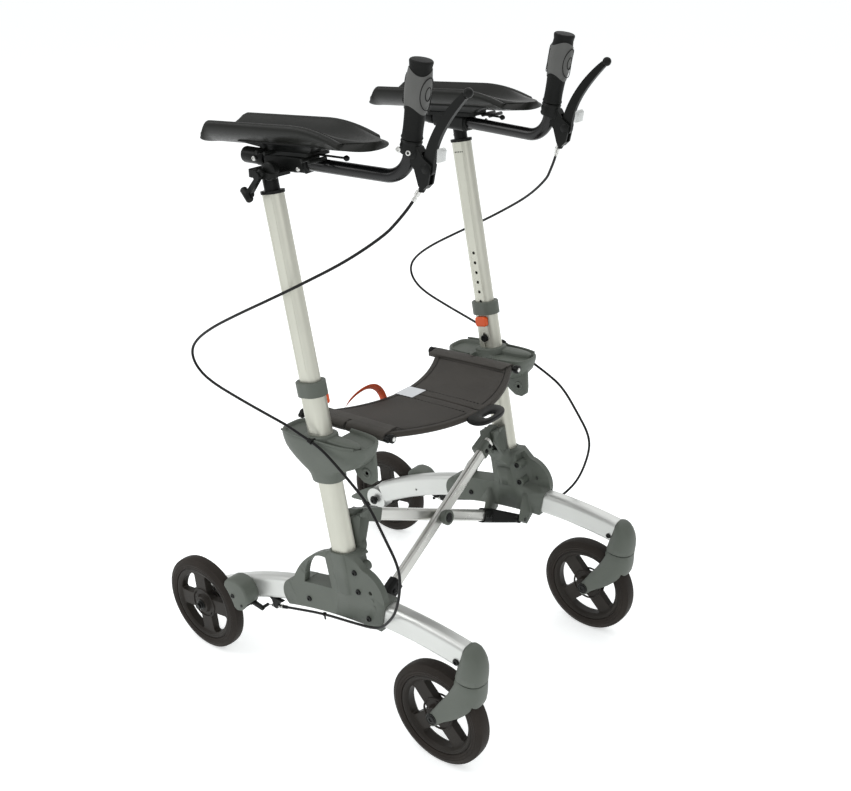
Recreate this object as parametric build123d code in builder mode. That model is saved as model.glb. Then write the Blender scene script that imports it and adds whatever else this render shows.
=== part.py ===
from build123d import *
import math
import os

# Four-wheeled walking frame with forearm supports. Millimetres, +X is the walking direction, +Y the
# user's left, +Z up, and the origin is on the floor in the middle of the frame. Every piece of the
# right-hand side is drawn once and mirrored to the left-hand side.

# ---- driving dimensions ----
WHEEL_R = 100.0
AXLE_X = 288.5            # front and rear axles stand this far from the middle
FRAME_Y = 254.0           # middle plane of each side frame
LEAN_DEG = 11.6           # the uprights lean back by this angle

LEG_ARC_R = 941.0         # arched leg, radius of its centre line
LEG_ARC_X, LEG_ARC_Z = 218.0, -684.0
LEG_H, LEG_W, LEG_WALL = 49.0, 32.0, 3.0
LEG_END_X = 343.0

UPRIGHT_S = 137.0         # the upright's centre line, measured square to its lean
LOWER_W, LOWER_D, UPPER_W, UPPER_D, TUBE_WALL = 48.0, 33.0, 41.0, 27.0, 2.0
LOWER_FROM, LOWER_TO = 262.0, 645.0
UPPER_FROM, UPPER_TO = 430.0, 969.0
HOLE_PITCH, BUTTON_T = 20.0, 610.0

CASTER_X, CROWN_R = 355.0, 27.0
FRONT_TYRE_W, REAR_TYRE_W, REAR_Y = 32.0, 27.0, 289.0

PIVOT_Y, PIVOT_LOW_T, PIVOT_HIGH_T = 216.0, 184.0, 382.0     # folding brace
PIVOT_S, STRUT_SHIFT = 138.0, 10.0
PIN_R, RUN_GAP = 4.0, 0.05

ROD_Y, ROD_Z, ROD_SLOPE_DEG = 190.0, 557.0, 3.8              # seat rods
ROD_R = 5.0
NOTCH_X = (2.0, 50.0)     # free way for the brace ends when the frame folds
SEAT_BOW, SEAT_REAR_X, SEAT_FRONT_X = 62.0, -70.0, 118.0

HANDLE_R, HANDLE_Z = 11.0, 1024.0
GRIP_Y, GRIP_TOP_Z = 193.0, 1202.0

COS, SIN = math.cos(math.radians(LEAN_DEG)), math.sin(math.radians(LEAN_DEG))
LEAN_DIR = Vector(-SIN, 0, COS)
ACROSS_DIR = Vector(COS, 0, SIN)
SLOPE = math.tan(math.radians(ROD_SLOPE_DEG))
os.makedirs("parts", exist_ok=True)


# ---- places ----
def on_side(distance):
    """Plane of a side view at y = -distance: local x is X, local y is Z, outward is -Y."""
    return Plane.XZ.offset(distance)


def on_lean(distance):
    """The same plane turned with the upright: local x is across it, local y is along it."""
    return Plane((0, -distance, 0), x_dir=ACROSS_DIR, z_dir=(0, -1, 0))


def across(t, s=UPRIGHT_S, y=-FRAME_Y):
    """Plane square to the upright at height t along it: local x is across, local y is +Y."""
    return Plane(ACROSS_DIR * s + LEAN_DIR * t + Vector(0, y, 0), x_dir=ACROSS_DIR, z_dir=LEAN_DIR)


def brace_plane(s):
    """Front view plane of the folding brace: local x is +Y, local y is along the upright."""
    return Plane(ACROSS_DIR * s, x_dir=(0, 1, 0), z_dir=ACROSS_DIR)


def lean_point(s, t, y):
    return ACROSS_DIR * s + LEAN_DIR * t + Vector(0, y, 0)


def rod_z(x):
    return ROD_Z + SLOPE * x


def leg_z(x, offset=0.0):
    """Height of the arched leg's line at x, offset square to the arch."""
    return LEG_ARC_Z + math.sqrt((LEG_ARC_R + offset) ** 2 - (x - LEG_ARC_X) ** 2)


def save(name, part):
    part.label = name
    export_step(part, f"parts/{name}.step")


def save_pair(name, part):
    """Write the right-hand piece and its mirror image."""
    save(f"right_{name}", part)
    save(f"left_{name}", mirror(part, about=Plane.XZ))


# ---- leg ----
def swept_leg(width, height, radius):
    """Arched bar along the leg's centre line, from its front end to just ahead of the rear axle."""
    with BuildPart(mode=Mode.PRIVATE) as bar:
        with BuildLine(on_side(FRAME_Y)) as line:
            ThreePointArc((LEG_END_X, leg_z(LEG_END_X)), (30, leg_z(30)), (-270, leg_z(-270)))
        with BuildSketch(Plane(line.line @ 0, x_dir=(0, 1, 0), z_dir=line.line % 0)):
            RectangleRounded(width, height, radius)
        sweep()
    return bar.part


with BuildPart() as leg_outer:
    add(swept_leg(LEG_W, LEG_H, 11))
    with BuildSketch(on_side(FRAME_Y)):
        with Locations((-AXLE_X, WHEEL_R)):
            Circle(LEG_H / 2 + 2.5)
    extrude(amount=LEG_W / 2 - 0.4, both=True)

with BuildPart() as leg:
    add(leg_outer.part)
    add(swept_leg(LEG_W - 2 * LEG_WALL, LEG_H - 2 * LEG_WALL, 8), mode=Mode.SUBTRACT)
    with BuildSketch(on_side(FRAME_Y)):
        with Locations((-AXLE_X, WHEEL_R)):
            Circle(6)
        with Locations((333, 240), (-164, 170)):
            Circle(2.6)
    extrude(amount=LEG_W, both=True, mode=Mode.SUBTRACT)
save_pair("leg", leg.part)


# ---- upright tubes ----
def oval(width, depth):
    """Oval tube section: flat faces with fully rounded edges."""
    SlotOverall(width, depth)


with BuildPart() as lower_tube:
    with BuildSketch(across(LOWER_FROM)):
        oval(LOWER_W, LOWER_D)
        offset(amount=-TUBE_WALL, mode=Mode.SUBTRACT)
    extrude(amount=LOWER_TO - LOWER_FROM)
    with BuildSketch(on_lean(FRAME_Y - LOWER_D / 2)):
        with Locations((UPRIGHT_S, BUTTON_T)):
            RectangleRounded(27, 21, 5.5)
        with Locations((UPRIGHT_S, BUTTON_T - 42)):
            SlotOverall(34, 8, rotation=90)
    extrude(amount=TUBE_WALL + 1, both=True, mode=Mode.SUBTRACT)
save_pair("lower_tube", lower_tube.part)

with BuildPart() as upper_tube:
    with BuildSketch(across(UPPER_FROM)):
        oval(UPPER_W, UPPER_D)
        offset(amount=-TUBE_WALL, mode=Mode.SUBTRACT)
    extrude(amount=UPPER_TO - UPPER_FROM)
    with BuildSketch(on_lean(FRAME_Y - UPPER_D / 2)):
        with Locations(*[(UPRIGHT_S, BUTTON_T + HOLE_PITCH * k) for k in range(-4, 8)]):
            Circle(3.2)
    extrude(amount=TUBE_WALL + 1, both=True, mode=Mode.SUBTRACT)
save_pair("upper_tube", upper_tube.part)

with BuildPart() as collar:
    with BuildSketch(across(LOWER_TO - 22)):
        oval(LOWER_W + 9, LOWER_D + 9)
    extrude(amount=26)
    fillet(collar.faces().sort_by(Axis((0, 0, 0), tuple(LEAN_DIR)))[-1].edges(), radius=1.5)
    with BuildSketch(across(LOWER_TO - 23)):
        oval(LOWER_W, LOWER_D)
    extrude(amount=23, mode=Mode.SUBTRACT)
    with BuildSketch(across(LOWER_TO - 1)):
        oval(UPPER_W + 0.8, UPPER_D + 0.8)
    extrude(amount=8, mode=Mode.SUBTRACT)
save_pair("collar", collar.part)

with BuildPart() as height_button:
    with BuildSketch(on_lean(FRAME_Y - LOWER_D / 2 + 0.5)):
        with Locations((UPRIGHT_S, BUTTON_T)):
            RectangleRounded(26, 20, 5)
    extrude(amount=-9)
    fillet(height_button.faces().sort_by(Axis.Y)[-1].edges(), radius=2.5)
save_pair("height_button", height_button.part)

# ---- lower casting: joins the leg and the upright, and carries the brace ----
CAST_HALF, SOCKET_TOP = 18.5, 330.0
CASTING_SCREWS, SCREW_HEAD = [(-7, 221), (109, 326), (117, 289), (141, 242)], 3.0
with BuildPart() as lower_casting:
    with BuildSketch(on_side(FRAME_Y)):
        with BuildLine():
            ThreePointArc((-62, leg_z(-62, -28)), (54, leg_z(54, -28)), (170, leg_z(170, -28)))
            Line((170, leg_z(170, -28)), (178, leg_z(178, 26)))
            ThreePointArc((178, leg_z(178, 26)), (161, 322), (127, 338))
            Line((127, 338), (104, 357))
            Line((104, 357), (45, 345))
            ThreePointArc((45, 345), (-16, 302), (-48, leg_z(-48, 26)))
            ThreePointArc((-48, leg_z(-48, 26)), (-76, 212), (-62, leg_z(-62, -28)))
        make_face()
        with BuildLine():
            window = [(34, 322), (-14, 262), (50, leg_z(50, 27))]
            ThreePointArc(window[0], (2, 300), window[1])
            Line(window[1], window[2])
            Line(window[2], window[0])
        make_face(mode=Mode.SUBTRACT)
    extrude(amount=CAST_HALF, both=True)
    with BuildSketch(across(250)):
        oval(LOWER_W + 10, LOWER_D + 10)
    extrude(amount=SOCKET_TOP - 250)
    # arm with two prongs that cradle the upper brace pin
    with BuildSketch(on_lean(FRAME_Y - CAST_HALF)):
        with Locations((PIVOT_S, 318)):
            Rectangle(44, 34)
    extrude(amount=-18)
    for side in (-1, 1):
        with BuildSketch(on_lean(FRAME_Y - CAST_HALF)):
            with Locations((PIVOT_S + side * 14, (PIVOT_HIGH_T + 300) / 2)):
                Rectangle(8, PIVOT_HIGH_T - 300 + 6)
        extrude(amount=-40)
    with BuildSketch(brace_plane(PIVOT_S)):
        with Locations((-PIVOT_Y, PIVOT_HIGH_T + 10)):
            Rectangle(2 * PIN_R + 0.6, 20)
        with Locations((-PIVOT_Y, PIVOT_HIGH_T)):
            Circle(PIN_R + 0.3)
    extrude(amount=20, both=True, mode=Mode.SUBTRACT)
    with BuildSketch(brace_plane(PIVOT_S)):
        with BuildLine():
            Polyline((-195, 300), (-195, 368), (-226, 310), (-226, 300), close=True)
        make_face()
    extrude(amount=30, both=True, mode=Mode.SUBTRACT)
    # lugs for the lower brace pin
    for side in (-1, 1):
        with BuildSketch(brace_plane(PIVOT_S + side * 46)):
            with BuildLine():
                Polyline((-PIVOT_Y + 9, PIVOT_LOW_T), (-PIVOT_Y - 4, PIVOT_LOW_T - 11),
                         (-FRAME_Y + 6, PIVOT_LOW_T + 4), (-FRAME_Y + 6, PIVOT_LOW_T + 52),
                         (-FRAME_Y + 20, PIVOT_LOW_T + 52), (-PIVOT_Y + 6, PIVOT_LOW_T + 10), close=True)
            make_face()
            with Locations((-PIVOT_Y, PIVOT_LOW_T)):
                Circle(PIN_R, mode=Mode.SUBTRACT)
        extrude(amount=5, both=True)
    add(leg_outer.part, mode=Mode.SUBTRACT)
    with BuildSketch(across(LOWER_FROM)):
        oval(LOWER_W, LOWER_D)
    extrude(amount=100, mode=Mode.SUBTRACT)
    with BuildSketch(on_side(FRAME_Y)):
        with Locations((145, 298)):
            Circle(4)
    extrude(amount=40, both=True, mode=Mode.SUBTRACT)
save_pair("lower_casting", lower_casting.part)

# ---- seat bracket: sleeve on the upright that spreads into a tray under the seat rod ----
RAIL_Y = 228.0
TRAY_W = 70.0
TRAY_PLANE = Plane((28, -FRAME_Y + 14, rod_z(28) - 11), x_dir=(1, 0, SLOPE), z_dir=(-SLOPE, 0, 1))
with BuildPart() as seat_bracket:
    with BuildSketch(across(468)):
        oval(LOWER_W + 10, LOWER_D + 9)
    with BuildSketch(across(500)):
        oval(LOWER_W + 14, LOWER_D + 12)
    with BuildSketch(TRAY_PLANE):
        RectangleRounded(200, TRAY_W, 22)
    loft()
    with BuildSketch(TRAY_PLANE):
        RectangleRounded(200, TRAY_W, 22)
    extrude(amount=17)
    fillet(seat_bracket.faces().sort_by(Axis.Z)[-1].edges(), radius=5)
    # lugs that hold the seat rod at its two ends
    for x in (SEAT_REAR_X - 4, SEAT_FRONT_X + 4):
        with BuildSketch(Plane((x, -218, rod_z(x)), x_dir=(1, 0, SLOPE), z_dir=(-SLOPE, 0, 1))):
            Rectangle(9, 70)
        extrude(amount=8, both=True)
    # hanging ear with a hole for a basket or bag
    with BuildSketch(on_side(RAIL_Y)):
        with BuildLine():
            Polyline((66, 560), (76, 520), (88, 500), (104, 492), (122, 494), (127, 506), (122, 560),
                     close=True)
        make_face()
        fillet(vertices().sort_by(Axis.Y)[:4], radius=4)
        with Locations((108, 509)):
            Circle(3.5, mode=Mode.SUBTRACT)
    extrude(amount=3, both=True)
    with BuildSketch(across(440)):
        oval(LOWER_W, LOWER_D)
    extrude(amount=200, mode=Mode.SUBTRACT)
    with BuildSketch(Plane((sum(NOTCH_X) / 2, -196, 0))):
        Rectangle(NOTCH_X[1] - NOTCH_X[0], 69)
    extrude(amount=700, mode=Mode.SUBTRACT)
    with BuildSketch(Plane((0, -ROD_Y, ROD_Z), x_dir=(0, 1, 0), z_dir=(1, 0, SLOPE))):
        Circle(ROD_R)
    extrude(amount=200, both=True, mode=Mode.SUBTRACT)
save_pair("seat_bracket", seat_bracket.part)

# ---- head cap over the leg's front end ----
with BuildPart() as head_cap:
    with BuildSketch(on_side(FRAME_Y)):
        with BuildLine():
            Line((330, 207), (352, leg_z(352, 27)))
            ThreePointArc((352, leg_z(352, 27)), (378, 258), (382, 207))
            Line((382, 207), (330, 207))
        make_face()
    extrude(amount=20, both=True)
    fillet(head_cap.edges().filter_by(lambda e: abs(e.center().Y + FRAME_Y) > 19 and e.center().Z > 208
                                      and e.center().X > 345), radius=12)
    with BuildSketch(Plane((CASTER_X, -FRAME_Y, 207))):
        Circle(CROWN_R)
    extrude(amount=26)
    add(leg_outer.part, mode=Mode.SUBTRACT)
    with BuildSketch(Plane((CASTER_X, -FRAME_Y, 200))):
        Circle(8 + RUN_GAP)
    extrude(amount=58, mode=Mode.SUBTRACT)
save_pair("head_cap", head_cap.part)

# ---- rear housing: hood in front of the rear tyre, hollow where the brake shoe works ----
SHOE_PIVOT = (-166.0, 150.0)
HOOD_W, CHEEK = 38.0, 7.0


def around_tyre(degrees, gap):
    """Side-view place at an angle about the rear axle, this far from the tread."""
    a = math.radians(degrees)
    return ((WHEEL_R + gap) * math.cos(a) - AXLE_X, (WHEEL_R + gap) * math.sin(a) + WHEEL_R)


with BuildPart() as rear_housing:
    with BuildSketch(on_side(FRAME_Y + LEG_W / 2)):
        with BuildLine():
            ThreePointArc(around_tyre(22, 5), around_tyre(34, 5), around_tyre(46, 5))
            Line(around_tyre(46, 5), (-178, 209))
            Line((-178, 209), (-145, 217))
            Line((-145, 217), (-130, 204))
            Line((-130, 204), (-136, 164))
            Line((-136, 164), (-163, 139))
            Line((-163, 139), around_tyre(22, 5))
        make_face()
        fillet(vertices(), radius=7)
    extrude(amount=HOOD_W)
    fillet(rear_housing.faces().sort_by(Axis.Y)[0].edges(), radius=6)
    with BuildSketch(on_side(FRAME_Y + LEG_W / 2 + CHEEK)):
        with BuildLine():
            Polyline((-225, 176), (-200, 184), (-176, 176), (-148, 168), (-138, 150), (-150, 126),
                     (-210, 126), close=True)
        make_face()
    extrude(amount=HOOD_W - 2 * CHEEK, mode=Mode.SUBTRACT)
    with BuildSketch(on_side(FRAME_Y + LEG_W / 2)):
        with Locations(SHOE_PIVOT):
            Circle(3)
    extrude(amount=HOOD_W, mode=Mode.SUBTRACT)
    add(leg_outer.part, mode=Mode.SUBTRACT)
save_pair("rear_housing", rear_housing.part)

# kerb tail behind the leg end, on the inner side
with BuildPart() as kerb_tail:
    with BuildSketch(on_side(FRAME_Y - LEG_W / 2)):
        with BuildLine():
            Polyline((-270, 124), (-306, 124), (-345, 100), (-380, 70), (-374, 66), (-300, 78), (-270, 86),
                     close=True)
        make_face()
        fillet(vertices(), radius=3)
        with Locations((-AXLE_X, WHEEL_R)):
            Circle(6.2, mode=Mode.SUBTRACT)
    extrude(amount=-6)


# ---- wheels ----
def wheel(x, y, tyre_width, turn):
    """Rim with four broad spokes, and its solid tyre; the wheel turns about a Y axis at (x, y)."""
    middle = Plane((x, y, WHEEL_R), x_dir=(1, 0, 0), z_dir=(0, 0, 1))
    axle = Axis((x, y, WHEEL_R), (0, 1, 0))
    half = tyre_width / 2
    with BuildPart() as rim:
        with BuildSketch(middle):
            with BuildLine():
                Polyline((6.05, half + 1), (17, half + 1), (20, 8), (66, 7), (71, half - 3), (78, half - 3),
                         (78, -half + 3), (71, -half + 3), (66, -7), (20, -8), (17, -half - 1),
                         (6.05, -half - 1), close=True)
            make_face()
        revolve(axis=axle)
        spoke_dir = (math.cos(math.radians(turn)), 0, math.sin(math.radians(turn)))
        with BuildSketch(Plane((x, y, WHEEL_R), x_dir=spoke_dir, z_dir=(0, -1, 0))):
            Circle(67)
            Circle(25, mode=Mode.SUBTRACT)
            Rectangle(140, 31, mode=Mode.SUBTRACT)
            Rectangle(31, 140, mode=Mode.SUBTRACT)
            fillet(vertices(), radius=5)
        extrude(amount=20, both=True, mode=Mode.SUBTRACT)
    with BuildPart() as tyre:
        with BuildSketch(middle):
            with BuildLine():
                Line((78, -half + 2), (78, half - 2))
                Line((78, half - 2), (86, half))
                Line((86, half), (93, half - 2))
                ThreePointArc((93, half - 2), (WHEEL_R, 0), (93, -half + 2))
                Line((93, -half + 2), (86, -half))
                Line((86, -half), (78, -half + 2))
            make_face()
        revolve(axis=axle)
    return rim.part, tyre.part


front_rim, front_tyre = wheel(AXLE_X, -FRAME_Y, FRONT_TYRE_W, 45)
rear_rim, rear_tyre = wheel(-AXLE_X, -REAR_Y, REAR_TYRE_W, 8)
save_pair("front_rim", front_rim)
save_pair("front_tyre", front_tyre)
save_pair("rear_rim", rear_rim)
save_pair("rear_tyre", rear_tyre)

# ---- caster fork with its stem and axle ----
FORK_IN, FORK_OUT = 20.5, 27.0
with BuildPart() as caster_fork:
    with BuildSketch(on_side(FRAME_Y)):
        with BuildLine():
            Polyline((331, 206.5), (288, 120), (276, 108), (274, 92), (288, 82), (302, 87), (334, 112),
                     (372, 150), (379, 168), (381, 206.5), close=True)
        make_face()
        fillet(vertices().sort_by(Axis.Y)[:8], radius=7)
    extrude(amount=FORK_OUT, both=True)
    fillet(caster_fork.edges().filter_by(lambda e: abs(e.center().Y + FRAME_Y) > FORK_OUT - 0.1
                                         and e.center().Z < 206), radius=3)
    with BuildSketch(Plane((CASTER_X, -FRAME_Y, 166))):
        Circle(CROWN_R)
    extrude(amount=40.5)
    with BuildSketch(on_side(FRAME_Y)):
        with Locations((AXLE_X, WHEEL_R)):
            Circle(WHEEL_R + 5)
    extrude(amount=FORK_IN, both=True, mode=Mode.SUBTRACT)
    with BuildSketch(Plane((CASTER_X, -FRAME_Y, 200))):
        Circle(8)
    extrude(amount=56)
    with BuildSketch(on_side(FRAME_Y)):
        with Locations((AXLE_X, WHEEL_R)):
            Circle(6)
    extrude(amount=FORK_OUT + 4, both=True)
save_pair("caster_fork", caster_fork.part)

# ---- brake shoe: hinged block that presses on the front of the rear tyre ----
with BuildPart() as brake_shoe:
    with BuildSketch(on_side(FRAME_Y + LEG_W / 2 + CHEEK + 1)):
        with BuildLine():
            ThreePointArc(around_tyre(25, 4), around_tyre(32, 4), around_tyre(39, 4))
            Line(around_tyre(39, 4), (-201, 171))
            Line((-201, 171), (-166, 160))
            Line((-166, 160), (-158, 154))
            Line((-158, 154), (-159, 143))
            Line((-159, 143), around_tyre(25, 4))
        make_face()
        with Locations(SHOE_PIVOT):
            Circle(3 + RUN_GAP, mode=Mode.SUBTRACT)
    extrude(amount=HOOD_W - 2 * CHEEK - 2)
    # arm that the cable pulls forward, with its cross pin
    with BuildSketch(on_side(FRAME_Y + LEG_W / 2 + CHEEK + 1)):
        with BuildLine():
            Polyline((-166, 146), (-158, 152), (-128, 144), (-124, 138), (-130, 132), (-160, 143), close=True)
        make_face()
    extrude(amount=6)
    with BuildSketch(on_side(FRAME_Y + 6)):
        with Locations((-129, 138)):
            Circle(5)
    extrude(amount=23)
save_pair("brake_shoe", brake_shoe.part)

# ---- fasteners of one side frame: axle, screws, seat rod, brake pin ----
with BuildPart() as frame_fasteners:
    with BuildSketch(on_side(FRAME_Y - 22)):
        with Locations((-AXLE_X, WHEEL_R)):
            Circle(6)
    extrude(amount=82.5)
    with BuildSketch(on_side(FRAME_Y - 22)):
        with Locations((-AXLE_X, WHEEL_R)):
            RegularPolygon(9, 6)
    extrude(amount=-5)
    with BuildSketch(on_side(REAR_Y + REAR_TYRE_W / 2 + 1.6)):
        with Locations((-AXLE_X, WHEEL_R)):
            RegularPolygon(9, 6)
    extrude(amount=5)
    for face, screws in ((FRAME_Y + CAST_HALF + 0.1, CASTING_SCREWS),
                         (FRAME_Y - CAST_HALF - 0.1 - SCREW_HEAD, CASTING_SCREWS[:-1])):
        with BuildSketch(on_side(face)):
            with Locations(*screws):
                Circle(5)
        extrude(amount=SCREW_HEAD)
    with BuildSketch(on_side(FRAME_Y + LEG_W / 2)):
        with Locations((333, 240)):
            Circle(5)
    extrude(amount=3)
    with BuildSketch(on_side(FRAME_Y + LEG_W / 2)):
        with Locations(SHOE_PIVOT):
            Circle(3)
    extrude(amount=HOOD_W)
    for low, high in ((SEAT_REAR_X - 10, NOTCH_X[0] - 4), (NOTCH_X[1] + 4, SEAT_FRONT_X + 10)):
        with BuildSketch(Plane((low, -ROD_Y, rod_z(low)), x_dir=(0, 1, 0), z_dir=(1, 0, SLOPE))):
            Circle(ROD_R)
        extrude(amount=high - low)
    with BuildSketch(brace_plane(PIVOT_S - 52)):
        with Locations((-PIVOT_Y, PIVOT_LOW_T)):
            Circle(PIN_R)
    extrude(amount=104)
save_pair("frame_fasteners", frame_fasteners.part + kerb_tail.part)

# ---- support post on the upper tube ----
with BuildPart() as support_post:
    with BuildSketch(across(UPPER_TO)):
        oval(UPPER_W + 4, UPPER_D + 4)
    extrude(amount=5)
    with BuildSketch(across(UPPER_TO - 30)):
        oval(UPPER_W - 2 * TUBE_WALL - 0.4, UPPER_D - 2 * TUBE_WALL - 0.4)
    extrude(amount=30)
    with BuildSketch(across(UPPER_TO + 4)):
        Circle(13)
    extrude(amount=22)
save_pair("support_post", support_post.part)

# ---- forearm support: clamp, pad, handle tube, grip and brake lever ----
POST_TOP = lean_point(UPRIGHT_S, UPPER_TO + 26, -FRAME_Y)
HANDLE_REAR = Vector(-142, -229, HANDLE_Z)
HANDLE_CORNER = Vector(170, -GRIP_Y, HANDLE_Z)
GRIP_TOP = Vector(199, -GRIP_Y, GRIP_TOP_Z)
GRIP_DIR = (GRIP_TOP - HANDLE_CORNER).normalized()
GRIP_LENGTH = 117.0
GRIP_LOW = GRIP_TOP - GRIP_DIR * GRIP_LENGTH
TUBE_DIR = (HANDLE_CORNER - HANDLE_REAR).normalized()
PAD_SLOPE, PAD_Y = 0.075, 214.0
PAD_PLANE = Plane((-30, -PAD_Y, 1046), x_dir=(1, 0, PAD_SLOPE), z_dir=(-PAD_SLOPE, 0, 1))
PAD_FRONT, PAD_REAR, PAD_HALF = 180.0, -198.0, 50.0


def along_tube(distance):
    """Plane square to the handle tube, this far from its rear end."""
    return Plane(HANDLE_REAR + TUBE_DIR * distance, x_dir=(0, 0, 1), z_dir=TUBE_DIR)


with BuildPart() as support_clamp:
    with BuildSketch(Plane(POST_TOP + Vector(0, 0, 0.4), x_dir=(1, 0, 0), z_dir=(0, 0, 1))):
        RectangleRounded(58, 46, 8)
    extrude(amount=12)
    with BuildSketch(along_tube(52)):
        RectangleRounded(30, 36, 8)
    extrude(amount=76)
    with BuildSketch(PAD_PLANE.offset(-8)):
        with Locations((-14, 0)):
            RectangleRounded(112, 50, 10)
    extrude(amount=6)
    with BuildSketch(along_tube(-20)):
        Circle(HANDLE_R + RUN_GAP)
    extrude(amount=300, mode=Mode.SUBTRACT)
    with BuildSketch(across(UPPER_TO + 26.3)):
        Circle(60)
    extrude(amount=-24, mode=Mode.SUBTRACT)
save_pair("support_clamp", support_clamp.part)

with BuildPart() as forearm_pad:
    with BuildSketch(Plane(PAD_PLANE.from_local_coords((PAD_REAR, 0, 0)), x_dir=(0, 1, 0),
                           z_dir=(1, 0, PAD_SLOPE))):
        with BuildLine():
            ThreePointArc((-PAD_HALF, 34), (0, 2), (PAD_HALF, 34))
            ThreePointArc((PAD_HALF, 34), (PAD_HALF - 4, 42), (PAD_HALF - 13, 43))
            ThreePointArc((PAD_HALF - 13, 43), (0, 20), (-PAD_HALF + 13, 43))
            ThreePointArc((-PAD_HALF + 13, 43), (-PAD_HALF + 4, 42), (-PAD_HALF, 34))
        make_face()
    extrude(amount=PAD_FRONT - PAD_REAR)
    with BuildSketch(PAD_PLANE.offset(60)):
        with Locations(((PAD_FRONT + PAD_REAR) / 2, 0)):
            Rectangle(500, 200)
            RectangleRounded(PAD_FRONT - PAD_REAR, 2 * PAD_HALF, 34, mode=Mode.SUBTRACT)
    extrude(amount=-100, mode=Mode.SUBTRACT)
    with BuildSketch(PAD_PLANE.offset(-2)):
        with Locations((-14, 0)):
            RectangleRounded(118, 46, 10)
    with BuildSketch(PAD_PLANE.offset(13)):
        with Locations((-14, 0)):
            RectangleRounded(180, 64, 14)
    loft()
save_pair("forearm_pad", forearm_pad.part)

with BuildPart() as clamp_lever:
    clamp_pivot = Vector(-64, -FRAME_Y - 23.5, 1009)
    with BuildSketch(Plane(clamp_pivot, x_dir=(1, 0, 0), z_dir=(0, -1, 0))):
        Circle(7)
        with BuildLine():
            Polyline((-4, -5), (5, -4), (-18, -34), (-26, -31), close=True)
        make_face()
    extrude(amount=9)
    with BuildSketch(Plane(clamp_pivot + Vector(-22, 0, -32), x_dir=(1, 0, 0), z_dir=(0, -1, 0))):
        Circle(7)
    extrude(amount=9)
save_pair("clamp_lever", clamp_lever.part)

with BuildPart() as handle_tube:
    with BuildLine():
        FilletPolyline(HANDLE_REAR, HANDLE_CORNER, GRIP_TOP - GRIP_DIR * 6, radius=44)
    with BuildSketch(along_tube(0)):
        Circle(HANDLE_R)
        Circle(HANDLE_R - 2, mode=Mode.SUBTRACT)
    sweep()
save_pair("handle_tube", handle_tube.part)

with BuildPart() as grip:
    with BuildSketch(Plane(GRIP_LOW, x_dir=(0, 1, 0), z_dir=Vector(0, 1, 0).cross(GRIP_DIR))):
        with BuildLine():
            Line((HANDLE_R, 0), (15.5, 0))
            Spline((15.5, 0), (15, 38), (17.5, 62), (17, 92), (14.5, GRIP_LENGTH - 10))
            Line((14.5, GRIP_LENGTH - 10), (16.5, GRIP_LENGTH))
            Line((16.5, GRIP_LENGTH), (HANDLE_R, GRIP_LENGTH))
            Line((HANDLE_R, GRIP_LENGTH), (HANDLE_R, 0))
        make_face()
    revolve(axis=Axis(GRIP_LOW, GRIP_DIR))
    with BuildSketch(Plane(GRIP_TOP - GRIP_DIR * 3, z_dir=GRIP_DIR)):
        Circle(HANDLE_R)
    extrude(amount=3)
save_pair("grip", grip.part)

LEVER_PIVOT = Vector(212, -GRIP_Y, 1046)
with BuildPart() as lever_bracket:
    with BuildSketch(Plane(GRIP_LOW - GRIP_DIR * 22, x_dir=(1, 0, 0), z_dir=tuple(GRIP_DIR))):
        Circle(HANDLE_R + 5)
    extrude(amount=18)
    with BuildSketch(on_side(GRIP_Y)):
        with BuildLine():
            Polyline((176, 1080), (196, 1076), (206, 1062), (222, 1052), (216, 1022), (206, 1012),
                     (198, 1018), (190, 1042), (176, 1058), close=True)
        make_face()
        fillet(vertices(), radius=3)
    extrude(amount=8, both=True)
    with BuildSketch(on_side(GRIP_Y)):
        with Locations((LEVER_PIVOT.X, LEVER_PIVOT.Z)):
            Circle(25)
        with Locations((LEVER_PIVOT.X + 18, LEVER_PIVOT.Z + 12)):
            Rectangle(44, 44)
    extrude(amount=4.5, both=True, mode=Mode.SUBTRACT)
    with BuildSketch(on_side(GRIP_Y)):
        with Locations((LEVER_PIVOT.X, LEVER_PIVOT.Z)):
            Circle(3)
    extrude(amount=8, both=True)
    with BuildSketch(Plane(GRIP_LOW - GRIP_DIR * 40, x_dir=(1, 0, 0), z_dir=tuple(GRIP_DIR))):
        Circle(HANDLE_R)
    extrude(amount=60, mode=Mode.SUBTRACT)
save_pair("lever_bracket", lever_bracket.part)

with BuildPart() as brake_lever:
    with BuildSketch(on_side(GRIP_Y)):
        with BuildLine():
            Spline((203, 1052), (216, 1090), (240, 1128), (275, 1163))
            Line((275, 1163), (281, 1155))
            Spline((281, 1155), (252, 1120), (233, 1088), (223, 1046))
            ThreePointArc((223, 1046), (212, 1034), (201, 1042))
            Line((201, 1042), (203, 1052))
        make_face()
        with Locations((LEVER_PIVOT.X, LEVER_PIVOT.Z)):
            Circle(3 + RUN_GAP, mode=Mode.SUBTRACT)
    extrude(amount=4, both=True)
    with Locations((283, -GRIP_Y, 1163)):
        Sphere(7.5)
save_pair("brake_lever", brake_lever.part)

# ---- brake cable: from the lever to the clip on the seat bracket, then down to the rear brake ----
CABLE_R = 2.5
CABLE_ROUTE = [
    (194, -196, 1006), (186, -203, 988), (169, -216, 961), (153, -229, 939), (97, -258, 893),
    (21, -284, 846), (-37, -297, 812), (-103, -305, 775), (-175, -308, 733), (-220, -309, 699),
    (-237, -309, 672), (-228, -308, 645), (-195, -306, 624), (-124, -301, 607), (-56, -296, 593),
    (-21, -292, 585), (12, -288, 573), (49, -287, 563), (78, -289, 550), (133, -296, 523),
    (171, -300, 500), (209, -303, 449), (236, -304, 411), (241, -303, 374), (225, -296, 308),
    (195, -288, 263), (168, -283, 238), (99, -276, 218), (27, -269, 199), (-39, -266, 178),
    (-99, -264, 158),
]


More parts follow.
